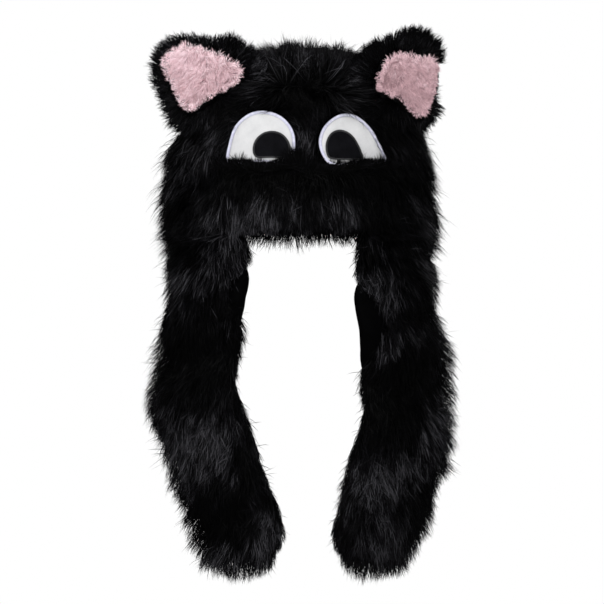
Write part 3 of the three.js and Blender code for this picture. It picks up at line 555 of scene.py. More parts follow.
class Coat:
    """How fur lies on a sheet: its direction, length and height, and how it gathers into locks and tufts.
    comb(points, normals, u, v) gives directions, length and height of strands at places on the sheet.
    Strands follow the sheet where follows is 1, and elsewhere bend with a radius and sag."""

    def __init__(self, sheet, comb, locks, tufts, keep=None, follows=None, bend=400.0, sag=0.0,
                 stand=(0.65, 1.3)):
        self.sheet, self.comb, self.keep, self.follows = sheet, comb, keep, follows
        self.bend, self.sag, self.stand = bend, sag, stand
        self.lock_roots = self.roots(locks)
        self.tuft_roots = self.roots(tufts)

    def roots(self, count):
        u, v = self.sheet.scatter(count)
        if self.keep is None:
            return u, v
        kept = self.keep(u, v, self.sheet.at(u, v))
        return u[kept], v[kept]

    def paths(self, u, v, stations, angle, long_by, high_by):
        root, normal = self.sheet.at(u, v), self.sheet.read(self.sheet.normals, u, v)
        way, length, height = self.comb(root, normal, u, v)
        way = in_plane(turned(in_plane(way, normal), normal, angle), normal)
        length, height = length * long_by, height * high_by
        a, b = self.sheet.rates(u, v, way)
        path = []
        for t in stations:
            s = length * t ** 1.1
            h = height * (1 - (1 - t) ** HAIR_ARCH)
            p = root + way * s[..., None] + normal * (h - s * s / (2 * self.bend))[..., None]
            p[..., 2] -= self.sag * t * t
            if self.follows is not None:
                p = mix(p, self.sheet.at(u + a * s, v + b * s, h), self.follows(u, v)[..., None])
            path.append(p)
        return np.stack(path), normal

    def grow(self, count, stations, width, tint, gather=(0.34, 0.74), spread=0.26, stray=0.06):
        """Strands drawn towards tufts, and those towards locks, by the shares in gather. A few stray."""
        u, v = self.roots(count)
        draw = rng.uniform
        lock_n, tuft_n, n = len(self.lock_roots[0]), len(self.tuft_roots[0]), len(u)
        lock_path, _ = self.paths(
            *self.lock_roots, stations, rng.normal(0, 1.3 * spread, lock_n), draw(0.85, 1.15, lock_n),
            draw(*self.stand, lock_n))
        tuft_path, _ = self.paths(
            *self.tuft_roots, stations, rng.normal(0, spread, tuft_n), draw(0.78, 1.22, tuft_n),
            draw(0.7, 1.25, tuft_n))
        of_lock = nearest(tuft_path[0], lock_path[0])
        of_tuft = nearest(self.sheet.at(u, v), tuft_path[0])
        t = stations[:, None, None]
        pull = gather[0] * t ** 1.4
        tuft_path = mix(tuft_path, lock_path[:, of_lock], pull)
        loose = rng.random(n) < stray
        path, normal = self.paths(
            u, v, stations, rng.normal(0, 0.7 * spread, n) * np.where(loose, 4.0, 1.0), draw(0.7, 1.1, n),
            draw(0.7, 1.1, n) * np.where(loose, 1.3, 1.0))
        pull = np.minimum(gather[1] * draw(0.45, 1.35, n), 1) * np.where(loose, 0.2, 1.0)
        path = mix(path, tuft_path[:, of_tuft], pull[None, :, None] * t ** 1.2)
        lock_tint, tuft_tint = draw(0, 1, lock_n)[of_lock][of_tuft], draw(0, 1, tuft_n)[of_tuft]
        shade = 0.14 * lock_tint + 0.2 * tuft_tint + 0.8 * draw(0, 1, n) ** 3
        # the tint function adds painted light and shade to the strands' own random tone
        shade = np.clip(shade * tint(path[-2]), 0.0, 1.0)
        side = unit(np.cross(normal, path[-1] - path[0]))
        angle = rng.normal(0, HAIR_ROLL, n)
        facing = normal * np.cos(angle)[:, None] + side * np.sin(angle)[:, None]
        return path, facing, width * draw(0.7, 1.25, n), np.clip(shade, 0.002, 0.998)


# ---- Finishes
class Value:
    """A socket of a finish, so that sums written on it add Math nodes."""

    def __init__(self, finish, socket):
        self.finish, self.socket = finish, socket

    def maths(self, operation, *values):
        return self.finish.node("ShaderNodeMath", dict(operation=operation), dict(enumerate(values)))

    def __add__(self, other):
        return self.maths("ADD", self, other)

    def __radd__(self, other):
        return self.maths("ADD", other, self)

    def __sub__(self, other):
        return self.maths("SUBTRACT", self, other)

    def __rsub__(self, other):
        return self.maths("SUBTRACT", other, self)

    def __mul__(self, other):
        return self.maths("MULTIPLY", self, other)

    def __rmul__(self, other):
        return self.maths("MULTIPLY", other, self)


class Finish:
    """A material of one glossy or matt surface, with the fixed values of its shader."""

    def __init__(self, name, **fixed):
        self.material = bpy.data.materials.new(name)
        self.material.use_nodes = True
        self.tree = self.material.node_tree
        self.shader = self.tree.nodes["Principled BSDF"]
        for key, value in fixed.items():
            self.shader.inputs[key.replace("_", " ")].default_value = value

    def node(self, kind, settings=None, sockets=None, out=0):
        made = self.tree.nodes.new(kind)
        for key, value in (settings or {}).items():
            if key == "stops":
                ramp = made.color_ramp
                for k, (place, colour) in enumerate(value):
                    stop = ramp.elements[k] if k < 2 else ramp.elements.new(place)
                    stop.position, stop.color = place, (*colour, 1)
            else:
                setattr(made, key, value)
        for key, value in (sockets or {}).items():
            self.put(made.inputs[key], value)
        return Value(self, made.outputs[out])

    def put(self, socket, value):
        if isinstance(value, Value):
            self.tree.links.new(value.socket, socket)
        elif isinstance(value, tuple) and len(value) == 3 and socket.type == "RGBA":
            socket.default_value = (*value, 1)
        else:
            socket.default_value = value

    def set(self, **values):
        for key, value in values.items():
            self.put(self.shader.inputs[key.replace("_", " ")], value)
        return self.material

    def blend(self, low, high, factor, blend_type="MIX"):
        made = self.tree.nodes.new("ShaderNodeMix")
        made.data_type, made.blend_type = "RGBA", blend_type
        for index, value in ((0, factor), (6, low), (7, high)):
            self.put(made.inputs[index], value)
        return Value(self, made.outputs[2])

    def ramp(self, value, *stops):
        return self.node("ShaderNodeValToRGB", dict(stops=stops), {"Fac": value})

    def place(self):
        return self.node("ShaderNodeTexCoord", out="Object")

    def noise(self, scale, detail=3.0, roughness=0.6, where=None):
        where = where or self.place()
        values = {"Vector": where, "Scale": scale, "Detail": detail, "Roughness": roughness}
        return self.node("ShaderNodeTexNoise", sockets=values)

    def bump(self, height, distance, strength=1.0):
        values = {"Height": height, "Distance": distance, "Strength": strength}
        return self.node("ShaderNodeBump", sockets=values)

    def strand(self):
        """A strand's tint, and how far along it a point lies."""
        both = self.node("ShaderNodeUVMap", dict(uv_map="OFBake"))
        made = self.node("ShaderNodeSeparateXYZ", sockets={0: both})
        return made, Value(self, made.socket.node.outputs[1])


def black_fur_finish():
    fur = Finish("black_fur", IOR=1.45, Specular_IOR_Level=0.045)
    tint, length = fur.strand()
    # the strand's tint, with its painted sheen and shade, sets the hair's colour
    hair = fur.ramp(tint, (0.0, (0.0002, 0.0002, 0.0003)), (0.25, (0.002, 0.0019, 0.0026)),
                    (0.6, (0.018, 0.0176, 0.0206)), (1.0, (0.12, 0.118, 0.132)))
    # Painted shade: the fur is darker towards its roots, as shade deep in the pile
    depth = fur.ramp(length, (0.0, (0.04, 0.04, 0.04)), (0.5, (0.4, 0.4, 0.4)), (1.0, (1.0, 1.0, 1.0)))
    return fur.set(Base_Color=fur.blend(hair, depth, 1.0, "MULTIPLY"), Roughness=0.5 - tint * 0.14)


def pink_fur_finish():
    fur = Finish("pink_plush", Specular_IOR_Level=0.25, Sheen_Weight=0.25)
    tint, length = fur.strand()
    tips = fur.ramp(tint, (0.0, (0.5, 0.31, 0.34)), (0.5, (0.8, 0.55, 0.59)), (1.0, (0.98, 0.79, 0.84)))
    # Painted shade: the plush is darker towards its roots, as shade deep in the pile
    roots = fur.ramp(length, (0.0, (0.72, 0.58, 0.61)), (0.45, (1.0, 1.0, 1.0)))
    return fur.set(Base_Color=fur.blend(tips, roots, 1.0, "MULTIPLY"), Roughness=0.75)


def backing_finish(name, dark, light, grain):
    cloth = Finish(name, Specular_IOR_Level=0.02)
    fleck = cloth.noise(grain, 4.0)
    tone = cloth.ramp(fleck, (0.3, dark), (0.75, light))
    return cloth.set(Base_Color=tone, Roughness=0.95, Normal=cloth.bump(fleck, 0.0012, 0.8))


def felt_finish(name, low, high, roughness, fuzz=0.3, gloss=0.3):
    felt = Finish(name, Specular_IOR_Level=gloss, Sheen_Weight=fuzz)
    fibres = felt.noise(1400.0, 5.0, 0.7)
    clouds = felt.noise(90.0, 3.0, 0.55)
    tone = felt.ramp(fibres * 0.55 + clouds * 0.45, (0.32, low), (0.66, high))
    return felt.set(Base_Color=tone, Roughness=roughness, Normal=felt.bump(fibres, 0.0005, 0.6))


def thread_finish(name, low, high, roughness):
    thread = Finish(name, Specular_IOR_Level=0.5)
    tint, along = thread.strand()
    twist = thread.node(
        "ShaderNodeTexNoise", sockets={"Vector": thread.place(), "Scale": 2600.0, "Detail": 2.0})
    tone = thread.ramp(tint, (0.0, low), (1.0, high))
    # Painted shade: each stitch is darker and bluer at both ends, where it sinks into the cloth
    painted_dip_shade = thread.ramp(along, (0.0, (0.72, 0.72, 0.78)), (0.5, (1.0, 1.0, 1.0)), (1.0, (0.72, 0.72, 0.78)))
    colour = thread.blend(tone, painted_dip_shade, 1.0, "MULTIPLY")
    return thread.set(Base_Color=colour, Roughness=roughness, Normal=thread.bump(twist, 0.0002, 0.5))


WEAVE = 0.0011  # the lining's threads, in metres from one to the next


def lining_finish(name, low, high, gloss):
    cloth = Finish(name, Specular_IOR_Level=gloss)
    split = cloth.node("ShaderNodeSeparateXYZ", sockets={0: cloth.place()}).socket.node
    x, y, z = (Value(cloth, s) for s in split.outputs)
    rows = 2 * pi / WEAVE
    up, round_ = z * rows, (x + y) * rows
    weave = up.maths("SINE", up) * 0.5 + round_.maths("SINE", round_) * 0.5
    clouds = cloth.noise(60.0, 3.0)
    tone = cloth.ramp(clouds, (0.3, low), (0.75, high))
    rough = 0.5 + clouds * 0.25
    return cloth.set(Base_Color=tone, Roughness=rough, Normal=cloth.bump(weave, 0.00018, 0.5))


BLACK_FUR = black_fur_finish()
PINK_FUR = pink_fur_finish()
BLACK_BACKING = backing_finish("black_backing", (0.0004, 0.0004, 0.0005), (0.0016, 0.0016, 0.0019), 900.0)
PINK_BACKING = backing_finish("pink_backing", (0.42, 0.24, 0.26), (0.62, 0.4, 0.42), 900.0)
WHITE_FELT = felt_finish("white_felt", (0.55, 0.55, 0.56), (0.7, 0.7, 0.705), 0.95, 0.3)
PUPIL_FELT = felt_finish("charcoal_felt", (0.0008, 0.0008, 0.001), (0.006, 0.006, 0.0078), 0.8, 0.0, 0.04)
WHITE_THREAD = thread_finish("white_thread", (0.66, 0.66, 0.82), (0.86, 0.86, 0.95), 0.42)
BLACK_THREAD = thread_finish("black_thread", (0.002, 0.002, 0.0025), (0.006, 0.006, 0.008), 0.45)
LINING = lining_finish("black_lining", (0.0012, 0.0012, 0.0014), (0.004, 0.004, 0.0046), 0.07)
# A darker copy of the lining: painted shade for the part that turns over to the front
SHADED_LINING_COPY = lining_finish("black_lining_painted_shade", (0.0002, 0.0002, 0.0003), (0.001, 0.001, 0.0012), 0.012)

COUNT = 1.0

# How many long hairs and undercoat hairs each fur has, and their width
HAIRS = {
    "crown_fur_front": (76000, 54000, 0.6), "crown_fur_back": (32000, 46000, 0.6),
    "cuff": (12000, 9500, 0.56), "flap": (21000, 12500, 0.55), "ear": (9500, 8500, 0.62),
}
BROW_HAIRS = 3400
PINK_HAIRS = 12600
EDGE_HAIRS = {"black": 1900, "pink": 2300}


def strands(count):
    return int(count * COUNT)


# ---- Eyes
EYE_LOW = SEWN_PILE + SEAM_GAP
EYE_HIGH = EYE_LOW + EYE["cloth"]
PUPIL_LOW = EYE_HIGH + SEAM_GAP
EYE_EDGES = {side: loop_through(e["outline"], 180) for side, e in EYES.items()}


def pad_object(name, outline, front, back, material, rings):
    """A closed pad over the crown's front. front gives its height at x, z and the share of the way out."""
    middle = outline.mean(axis=0)
    shares = np.linspace(0, 1, rings + 1)[1:]
    ring_points = middle + (outline - middle) * shares[:, None, None]
    x, z = ring_points[..., 0], ring_points[..., 1]
    high = front(x, z, shares[:, None] + 0 * x)
    top = over_front(x, z, high).reshape(-1, 3)
    under = over_front(x, z, back + 0 * x).reshape(-1, 3)
    n = len(outline)
    faces = [f[::-1] for f in grid_faces(rings, n, around=True).tolist()]
    faces += [[f + len(top) for f in face[::-1]] for face in faces]
    edge, low_edge = (rings - 1) * n, (rings - 1) * n + len(top)
    faces += [[edge + k, edge + (k + 1) % n, low_edge + (k + 1) % n, low_edge + k] for k in range(n)]
    front_middle = over_front(*middle[:, None], front(*middle[:, None], np.zeros(1)))
    back_middle = over_front(*middle[:, None], np.array([back]))
    a, b = 2 * len(top), 2 * len(top) + 1
    faces += [[a, (k + 1) % n, k] for k in range(n)]
    faces += [[b, len(top) + k, len(top) + (k + 1) % n] for k in range(n)]
    points = np.concatenate([top, under, front_middle, back_middle])
    return mesh_object(name, points, [f[::-1] for f in faces], material)


def satin_stitches(name, outline, outer, inner, base, rise, material, pitch=0.5):
    """Side by side stitches across an outline, from outer to inner millimetres outside it."""
    girth = np.linalg.norm(np.roll(outline, -1, axis=0) - outline, axis=1).sum()
    count = int(girth / pitch)
    along = np.arange(count) / count * len(outline) + rng.normal(0, 0.12, count)

    stations, sides, lean = 4, 6, 0.35
    points, uvs = [], []
    tint = rng.random(count)
    for k in range(stations):
        t = k / (stations - 1)
        ring, places = grown(outline, mix(outer, inner, t)), along + (t - 0.5) * lean * len(outline) / girth
        spot = in_outline_order(ring, places)
        ahead = unit(in_outline_order(ring, places + 0.5) - spot)
        high = base + rise * np.sin(pi * t) ** 0.5 * rng.normal(1, 0.03, count)
        thick = 0.3 * mix(0.7, 1.0, math.sin(pi * t))
        for m in range(sides):
            angle = pi * (m / (sides - 1))
            shift = ahead * (thick * math.cos(angle) * 1.15)
            place = spot + shift
            points.append(over_front(place[:, 0], place[:, 1], high + thick * math.sin(angle)))
            uvs.append(np.stack([tint, np.full(count, t)], axis=1))
    points, uvs = (np.stack(x, axis=1).reshape(-1, x[0].shape[-1]) for x in (points, uvs))
    one = grid_faces(stations, sides, around=True)
    ends = np.array([[0, 1, 2, 5], [2, 3, 4, 5], [18, 23, 20, 19], [20, 23, 22, 21]])
    one = np.concatenate([one, ends])
    base_index = stations * sides * np.arange(count)[:, None, None]
    return mesh_object(name, points, (one[None] + base_index).reshape(-1, 4), material, uvs)


def ring_object(name, outline, outer, inner, low, high, material):
    """A flat band under the stitches."""
    rows = [(outer, low), (outer - 0.2, high), (inner + 0.2, high), (inner, low)]
    rings = [grown(outline, by) for by, _ in rows]
    points = np.concatenate([
        over_front(r[:, 0], r[:, 1], h + 0 * r[:, 0]) for r, (_, h) in zip(rings, rows)])
    n = len(outline)
    faces = grid_faces(4, n, around=True)
    k = np.arange(n)
    close = np.stack([3 * n + k, 3 * n + (k + 1) % n, (k + 1) % n, k], axis=1)
    uv = np.full((len(points), 2), 0.5)
    return mesh_object(name, points, np.concatenate([faces, close]), material, uv)


def pupil_outline(side):
    x, z = loop_through(EYES[side]["pupil"], 160).T
    inner = grown(EYE_EDGES[side], -EYE["stitch_width"] - 0.5)
    far, away = outside(inner, x, z)
    past = np.maximum(far, 0)
    return np.stack([x - away[:, 0] * past, z - away[:, 1] * past], axis=1)


def make_eye(side):
    edge = EYE_EDGES[side]
    inner = grown(edge, -EYE["stitch_width"] + 0.5)

    def felt(x, z, share):
        here = np.stack([x, 0 * x, z], axis=-1)
        pinch = 0.9 * smooth((share - 0.86) / 0.14)
        return EYE_HIGH - pinch + 0.12 * wander(here, 9, 3)

    white = pad_object(f"eye_felt_{side}", inner, felt, EYE_LOW, WHITE_FELT, 12)
    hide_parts(f"eye_white_{side}")
    wide = EYE["stitch_width"]
    band = ring_object(
        f"eye_band_{side}", edge, 0.1, -wide - 0.1, EYE_LOW, EYE_HIGH - 0.1, WHITE_THREAD)
    stitches = satin_stitches(
        f"eye_stitches_{side}", edge, 0.35, -wide - 0.35, EYE_HIGH - 0.5, 0.75, WHITE_THREAD)
    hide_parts(f"eye_rim_{side}")

    disc = pupil_outline(side)
    disc = loop_through([tuple(p) for p in disc[::4]], 160)

    def pupil_front(x, z, share):
        here = np.stack([x, 0 * x, z], axis=-1)
        return PUPIL_LOW + 0.75 - 0.3 * smooth((share - 0.9) / 0.1) + 0.05 * wander(here, 9, 9)

    pupil = pad_object(f"pupil_felt_{side}", disc, pupil_front, PUPIL_LOW - 0.2, PUPIL_FELT, 8)
    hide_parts(f"pupil_{side}")
    edging = satin_stitches(
        f"pupil_stitches_{side}", disc, 0.3, -1.7, PUPIL_LOW + 0.35, 0.6, BLACK_THREAD, 0.55)


for side in EYES:
    make_eye(side)


# ---- Crown
SKIN_SHARE, SKIN_MOST = 0.34, 6.5  # the backing's depth, as a share of the pile and at most


def skin_depth(turn, z):
    """How far the backing cloth of the fur stands off the lining, inside the pile."""
    return np.minimum(SKIN_SHARE * crown_pile(turn, z), SKIN_MOST)


def crown_skin(turn, rise):
    z = crown_z(rise)
    return crown_at(turn, z, skin_depth(turn, z))


CROWN_SHEET = Sheet(crown_skin, np.linspace(-0.4, 2 * pi + 0.4, 320), np.linspace(-0.14, 1, 115))
CROWN_SHEET.normals[:, -1] = [0, 0, 1]
WHORL = crown_at(0.03, -17.0, 5.0)
WHORL_HALF = 20.0  # half the width of the parting that the fur falls from
WHORL_REACH, WHORL_MIDDLE = 85, 24  # how far the fur falls away from it, and how far it stands up there
CROWN_HAIR = dict(low=33, high=27, at_sides=5)
TOP_RISE, WHORL_RISE = 10.5, 6.0  # what the fur's height gains on the crown's top and at the whorl
SIDE_RISE = dict(left=15.0, left_low=9.0, right=10.0)
EYE_CLEAR = 0.8  # no hair is rooted closer to an eye


def crown_backing():
    turns = np.linspace(0, 2 * pi, 120, endpoint=False)
    rises = np.linspace(0, 1, 40)[:-1]
    t, r = np.meshgrid(turns, rises)
    z = crown_z(r)
    body = crown_at(t, z, skin_depth(t, z) + 0.5 * wander(crown_at(t, z, 0.0), 14, 5))
    inner = crown_at(t[::-4], z[::-4], 0.15)
    hem = [crown_at(turns, RIM_Z + up, skin_depth(turns, RIM_Z) * share + 0.4)
           for up, share in ((1.5, 0.0), (-0.6, 0.35), (-0.4, 0.75))]
    for ring, up in zip(hem, (1.5, -0.6, -0.4)):
        ring[:, 2] = RIM_Z + up
    rows = [*inner, *hem, *body]
    tops = [crown_at(0.0, TOP_Z, by)[None] for by in (PILE["top"] * SKIN_SHARE, 0.15)]
    points = np.concatenate([*rows, *tops])
    n, last, top = len(turns), (len(rows) - 1) * len(turns), len(rows) * len(turns)
    faces = grid_faces(len(rows), n, around=True).tolist()
    faces += [[last + k, last + (k + 1) % n, top] for k in range(n)]
    faces += [[(k + 1) % n, k, top + 1] for k in range(n)]
    made = mesh_object("crown_backing", points, faces, BLACK_BACKING)


def cuff_share(turn):
    turn = (turn + pi) % (2 * pi) - pi
    return turn, (turn / CUFF["reach"] + 1) / 2


def crown_keep(u, v, root):
    turn, across = cuff_share(u)
    z = crown_z(v)
    under_cuff = (np.abs(turn) < CUFF["reach"] * 0.985) & (z < cuff_top(np.clip(across, 0, 1)) - 5)
    keep = (v < 0.992) & (v > 0) & (u >= 0) & (u < 2 * pi) & ~under_cuff
    front = root[:, 1] < 0
    for edge in EYE_EDGES.values():
        far, _ = outside(edge, root[:, 0], root[:, 2])
        keep &= ~(front & (far < EYE_CLEAR))
    return keep


def crown_comb(root, normal, u, v):
    """Fur falls from a whorl above the eyes, and parts round them."""
    z = crown_z(v)
    from_whorl = root - WHORL
    from_whorl[:, 0] -= np.clip(from_whorl[:, 0], -WHORL_HALF, WHORL_HALF)
    far = np.linalg.norm(from_whorl, axis=-1)
    down = in_plane(np.broadcast_to([0.0, 0.0, -1.0], root.shape) + 0.25 * normal, normal)
    away = in_plane(from_whorl + 1e-3, normal)
    whorl = np.exp(-(far / WHORL_REACH) ** 2)[:, None]
    lie = in_plane(mix(down, away, np.clip(whorl * 1.15, 0, 1)), normal)
    at_whorl = np.exp(-(far / WHORL_MIDDLE) ** 2)
    swirl = 0.34 * wander(root, 50, 21) + (0.26 + 0.7 * at_whorl) * wander(root, 15, 24)
    lie = turned(lie, normal, swirl)
    sides = np.sin(u) ** 4 * smooth((-40 - z) / 40)
    length = mix(CROWN_HAIR["low"], CROWN_HAIR["high"], smooth((z + 60) / 60))
    length = length * (1 + 0.08 * wander(root, 30, 22)) + CROWN_HAIR["at_sides"] * sides
    height = (crown_pile(u, z) - skin_depth(u, z)) * (1 + 0.2 * wander(root, 38, 23)) + 2.0
    height = height + TOP_RISE * smooth((z + 40) / 40) + WHORL_RISE * at_whorl
    left = mix(SIDE_RISE["left"], SIDE_RISE["left_low"], smooth((-120 - z) / 20))
    height = height + np.where(root[:, 0] < 0, left, SIDE_RISE["right"]) * sides
    height = height * (1 + 0.14 * np.clip(sheen(root), -1.4, 1.4))
    height = height * (1 + 0.2 * smooth((z + 50) / 50) * wander(root, 10, 25))
    front = smooth(-root[:, 1] / 25)
    for edge in EYE_EDGES.values():
        gap, g = outside(edge, root[:, 0], root[:, 2])
        out = in_plane(np.stack([g[:, 0], 0 * gap, g[:, 1]], axis=-1), normal)
        near = front * smooth((34 - gap) / 26)
        into = np.minimum(dot(lie, out), 0)
        aside = 0.22 * near * smooth((16 - gap) / 10)
        lie = unit(lie - out * (into * near)[:, None] + out * aside[:, None])
        close = front * smooth((16 - gap) / 14)
        length = length * mix(1, 0.62, close)
        height = height * mix(1, 0.7, close)
    turn = np.abs(cuff_share(u)[0])
    over_cuff = smooth((CUFF["top"] + 14 - z) / 12) * (turn < 1.2)
    length = length * mix(1, 0.6, over_cuff)
    over_flap = (turn > FLAP_SEAM["start"]) & (turn < FLAP_SEAM["end"])
    low = smooth((RIM_Z + 34 - z) / 34)
    length = length * mix(1, 0.8, low * ~over_flap)
    height = height * mix(1, 0.8, low * over_flap)
    return lie, length, height


def clear_of_eyes(path, facing, width, tint):
    """Leaves out strands that would lie across an eye."""
    keep = np.ones(path.shape[1], bool)
    for edge in EYE_EDGES.values():
        for k, allowed in ((1, -0.2), (2, -0.8), (-1, -1.4)):
            p = path[k]
            far, _ = outside(edge, p[:, 0], p[:, 2])
            keep &= ~((p[:, 1] < 0) & (far < allowed))
    return only(keep, path, facing, width, tint)


def in_ear(p, side):
    """Whether points lie in an ear, behind its front."""
    ear = EARS[side]
    edge = loop_through(ear["fur"], 60)
    far, _ = outside(edge, p[..., 0], p[..., 2])
    near = ear_y(ear, p[..., 0], p[..., 2])
    return (far < -2) & (p[..., 1] > near - 1) & (p[..., 1] < near + EAR["rim_thick"] + EAR["middle_thick"])


def clear_of_ears(path, facing, width, tint):
    keep = np.ones(path.shape[1], bool)
    for side in EARS:
        for p in path[1:]:
            keep &= ~in_ear(p, side)
    return only(keep, path, facing, width, tint)


FRONT_TO = 8  # the front and back of the crown's fur meet here, in y


def make_crown_fur():
    def follows(u, v):
        return 0.65 * smooth((0.88 - v) / 0.08)

    coat = Coat(CROWN_SHEET, crown_comb, 620, 9000, crown_keep, follows, bend=150, stand=(0.7, 1.45))
    for name, at_front in (("crown_fur_front", True), ("crown_fur_back", False)):
        def clear(path, *rest):
            here = (path[0][:, 1] < FRONT_TO) == at_front
            return clear_of_ears(*clear_of_eyes(*only(here, path, *rest)))

        pile = Pile()
        pile.cover(coat, *HAIRS[name], clear)
        piece = pile.make(name, BLACK_FUR)
        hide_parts("crown_fur")


crown_backing()
make_crown_fur()


# ---- Cuff under the eyes
def cuff_up(round_):
    return np.clip((round_ - CUFF_UNDER) / (1 - CUFF_UNDER), 0, 1)


def cuff_skin(across, round_):
    """round_ runs from inside the rim, under the cuff, and up its front to its top edge."""
    top = cuff_top(across)
    under, up = np.clip(round_ / CUFF_UNDER, 0, 1), cuff_up(round_)
    thick = cuff_thick(across, up)
    swell = 0.42 * thick + 1.6 * np.sin(pi * np.clip(up * 1.5, 0, 1))
    offset = mix(2.0, SEWN_PILE + swell, np.sin(under * pi / 2))
    z = mix(RIM_Z - 1.5 * np.sin(under * pi), top, up) + mix(2.5, 0, np.sin(under * pi / 2))
    turn = mix(-CUFF["reach"], CUFF["reach"], across)
    placed = crown_at(turn, np.maximum(z, RIM_Z), offset)
    placed[..., 2] += np.minimum(z - RIM_Z, 0)
    return placed


CUFF_UNDER = 0.16  # the share of the cuff's skin that lies under the rim
CUFF_HAIR = dict(front=28, top=15, at_rim=4.5, over_flap=40.0, more_over_flap=9)
CUFF_SHEET = Sheet(cuff_skin, np.linspace(0, 1, 160), np.linspace(0, 1, 60))


def cuff_comb(root, normal, u, v):
    up = cuff_up(v)
    down = np.broadcast_to([0.0, 0.0, -1.0], root.shape)
    outwards = np.stack([root[:, 0] / 110, 0 * up, 0 * up], axis=-1)
    lie = down + 0.22 * outwards + 0.5 * normal * (v < CUFF_UNDER)[:, None]
    rises = smooth((up - 0.86) / 0.1)[:, None]
    lie = in_plane(mix(lie, -down * 0.8 + 0.25 * outwards, rises), normal)
    lie = turned(lie, normal, 0.3 * wander(root, 42, 31) + 0.25 * wander(root, 15, 36))
    length = mix(CUFF_HAIR["front"], CUFF_HAIR["top"], smooth((up - 0.8) / 0.15))
    length = length * (1 + 0.1 * wander(root, 25, 32))
    over_flap = smooth((np.abs(2 * u - 1) * CUFF["reach"] - FLAP_SEAM["start"] - 0.06) / 0.1)
    length = length + CUFF_HAIR["more_over_flap"] * over_flap * smooth((0.5 - v) / 0.3)
    most = mix(CUFF_HAIR["at_rim"], CUFF_HAIR["over_flap"], over_flap) + 0.75 * (root[:, 2] - RIM_Z)
    length = np.minimum(length, most)
    thick = cuff_thick(u, up)
    height = mix(0.62 * thick + 3.0, 4.5, smooth((up - 0.85) / 0.12)) * (1 + 0.3 * wander(root, 30, 33))
    height = height * (1 + 0.2 * np.clip(sheen(root), -1.4, 1.4))
    height = height * mix(1, 0.6, over_flap * smooth((0.45 - v) / 0.3))
    return lie, length, height * mix(0.4, 1, smooth(v / mix(0.4, CUFF_UNDER, over_flap)))


# How high the hairs under the eyes stand: x, the height that they cover, and how far single hairs pass it
BROW = np.array([
    (-88, -94, 10), (-78, -91.5, 10), (-70, -89, 10), (-60, -89.5, 10), (-50, -90, 9), (-44, -91.2, 3),
    (-40, -91.8, 2), (-26, -91.8, 2), (-20, -89.5, 7), (-14, -87, 10), (-9, -80, 10), (-4, -76, 10),
    (2, -83, 10), (9, -93, 10), (20, -94.5, 5), (28, -94.8, 2), (42, -94.3, 2), (49, -91.5, 8),
    (58, -89, 9), (84, -88.5, 10), (92, -90, 10),
])


def brow_hairs(count):
    """The hairs at the cuff's top edge, which stand up over the foot of each eye."""
    x = rng.uniform(-88, 94, count)
    cover, past = (np.interp(x, BROW[:, 0], BROW[:, k]) for k in (1, 2))
    z = np.minimum(cover - rng.uniform(4, 13, count), rng.uniform(-102, -95.5, count))
    root = over_front(x, z, rng.uniform(9.5, 13, count))
    normal = unit(over_front(x, z, 30 + 0 * x) - over_front(x, z, 10 + 0 * x))
    lean = rng.normal(0, 0.45, count) + 0.9 * wander(root, 17, 34)
    way = np.stack([np.sin(lean), 0 * x, np.cos(lean)], axis=-1)
    here = np.stack([x, 0 * x, 0 * x], axis=-1)
    past = past * np.clip(0.55 + 0.9 * wander(here, 9, 35), 0.1, 1.4)
    length = (cover - z - 1 + past * rng.random(count) ** 2.5)[:, None]
    bend = rng.normal(0, 0.16, count)[:, None] * np.stack([np.cos(lean), 0 * x, -np.sin(lean)], axis=-1)
    rise = rng.uniform(0.05, 0.3, count)[:, None]
    path = [root + length * (way * t + bend * t * t + normal * rise * math.sin(1.8 * t)) for t in STRAND_T]
    width = rng.uniform(0.4, 0.65, count)
    return np.stack(path), normal, width, np.clip(rng.random(count) ** 2 * 0.5, 0.002, 1)


def make_cuff():
    outer = cuff_skin(*np.meshgrid(np.linspace(0, 1, 90), np.linspace(0, 1, 34), indexing="ij"))
    across, up = np.meshgrid(np.linspace(0, 1, 90), np.linspace(0.92, 0.08, 5), indexing="ij")
    turn = mix(-CUFF["reach"], CUFF["reach"], across)
    inner = crown_at(turn, mix(RIM_Z, cuff_top(across), up), 1.5)
    made = closed_tube("cuff_backing", np.concatenate([outer, inner], axis=1), BLACK_BACKING)
    coat = Coat(CUFF_SHEET, cuff_comb, 200, 3000, bend=140, sag=1)
    pile = Pile()
    pile.cover(coat, *HAIRS["cuff"])
    pile.add(*brow_hairs(strands(BROW_HAIRS)), TAPER)
    piece = pile.make("cuff_fur", BLACK_FUR)
    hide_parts("brow_cuff")


make_cuff()


# ---- Flaps
EDGE_ROUND = 3.2  # how thick the fur's backing turns over the edges of the lining
WRAP = 0.13  # the share of the way round that each edge takes
END_PAST = 0.05  # how much further than the lining the fur's backing reaches, as a share of the flap
PAST_LENGTH = 170.0  # the drop below the lining for each share past it
FLAP_HAIR = dict(length=27, edge=17.5, edge_at_rim=26, shorter_at_end=0.86, least=1.2)


def flap_down(along):
    return flap_z(np.clip(along, -1, 1.0)) - PAST_LENGTH * np.maximum(along - 1, 0)


def flap_skin(side):
    def place(around, along):
        z = flap_down(along)
        wide = column(FLAPS[side], 2, z) - column(FLAPS[side], 1, z)
        end = np.sqrt(np.clip(1 - np.clip((along - END_PAST - 0.965) / 0.035, 0, 1) ** 2, 0.05, 1))
        r = EDGE_ROUND * end
        inner, outer = 0.01 + r / wide, 1.0 - r / wide
        a = np.clip(around / WRAP, 0, 1) * pi
        b = np.clip((around - 1 + WRAP) / WRAP, 0, 1) * pi
        middle = np.clip((around - WRAP) / (1 - 2 * WRAP), 0, 1)
        turned_in, turned_out = np.sin(a) * (around < WRAP), np.sin(b) * (b > 0)
        across = mix(inner, outer, middle) - r / wide * turned_in + r / wide * turned_out
        off = r - r * np.cos(a) - (r - r * np.cos(b)) * (b > 0) + 1.2 * np.sin(pi * middle) * end
        return flap_at(side, across, z, off + 0.3)

    return place


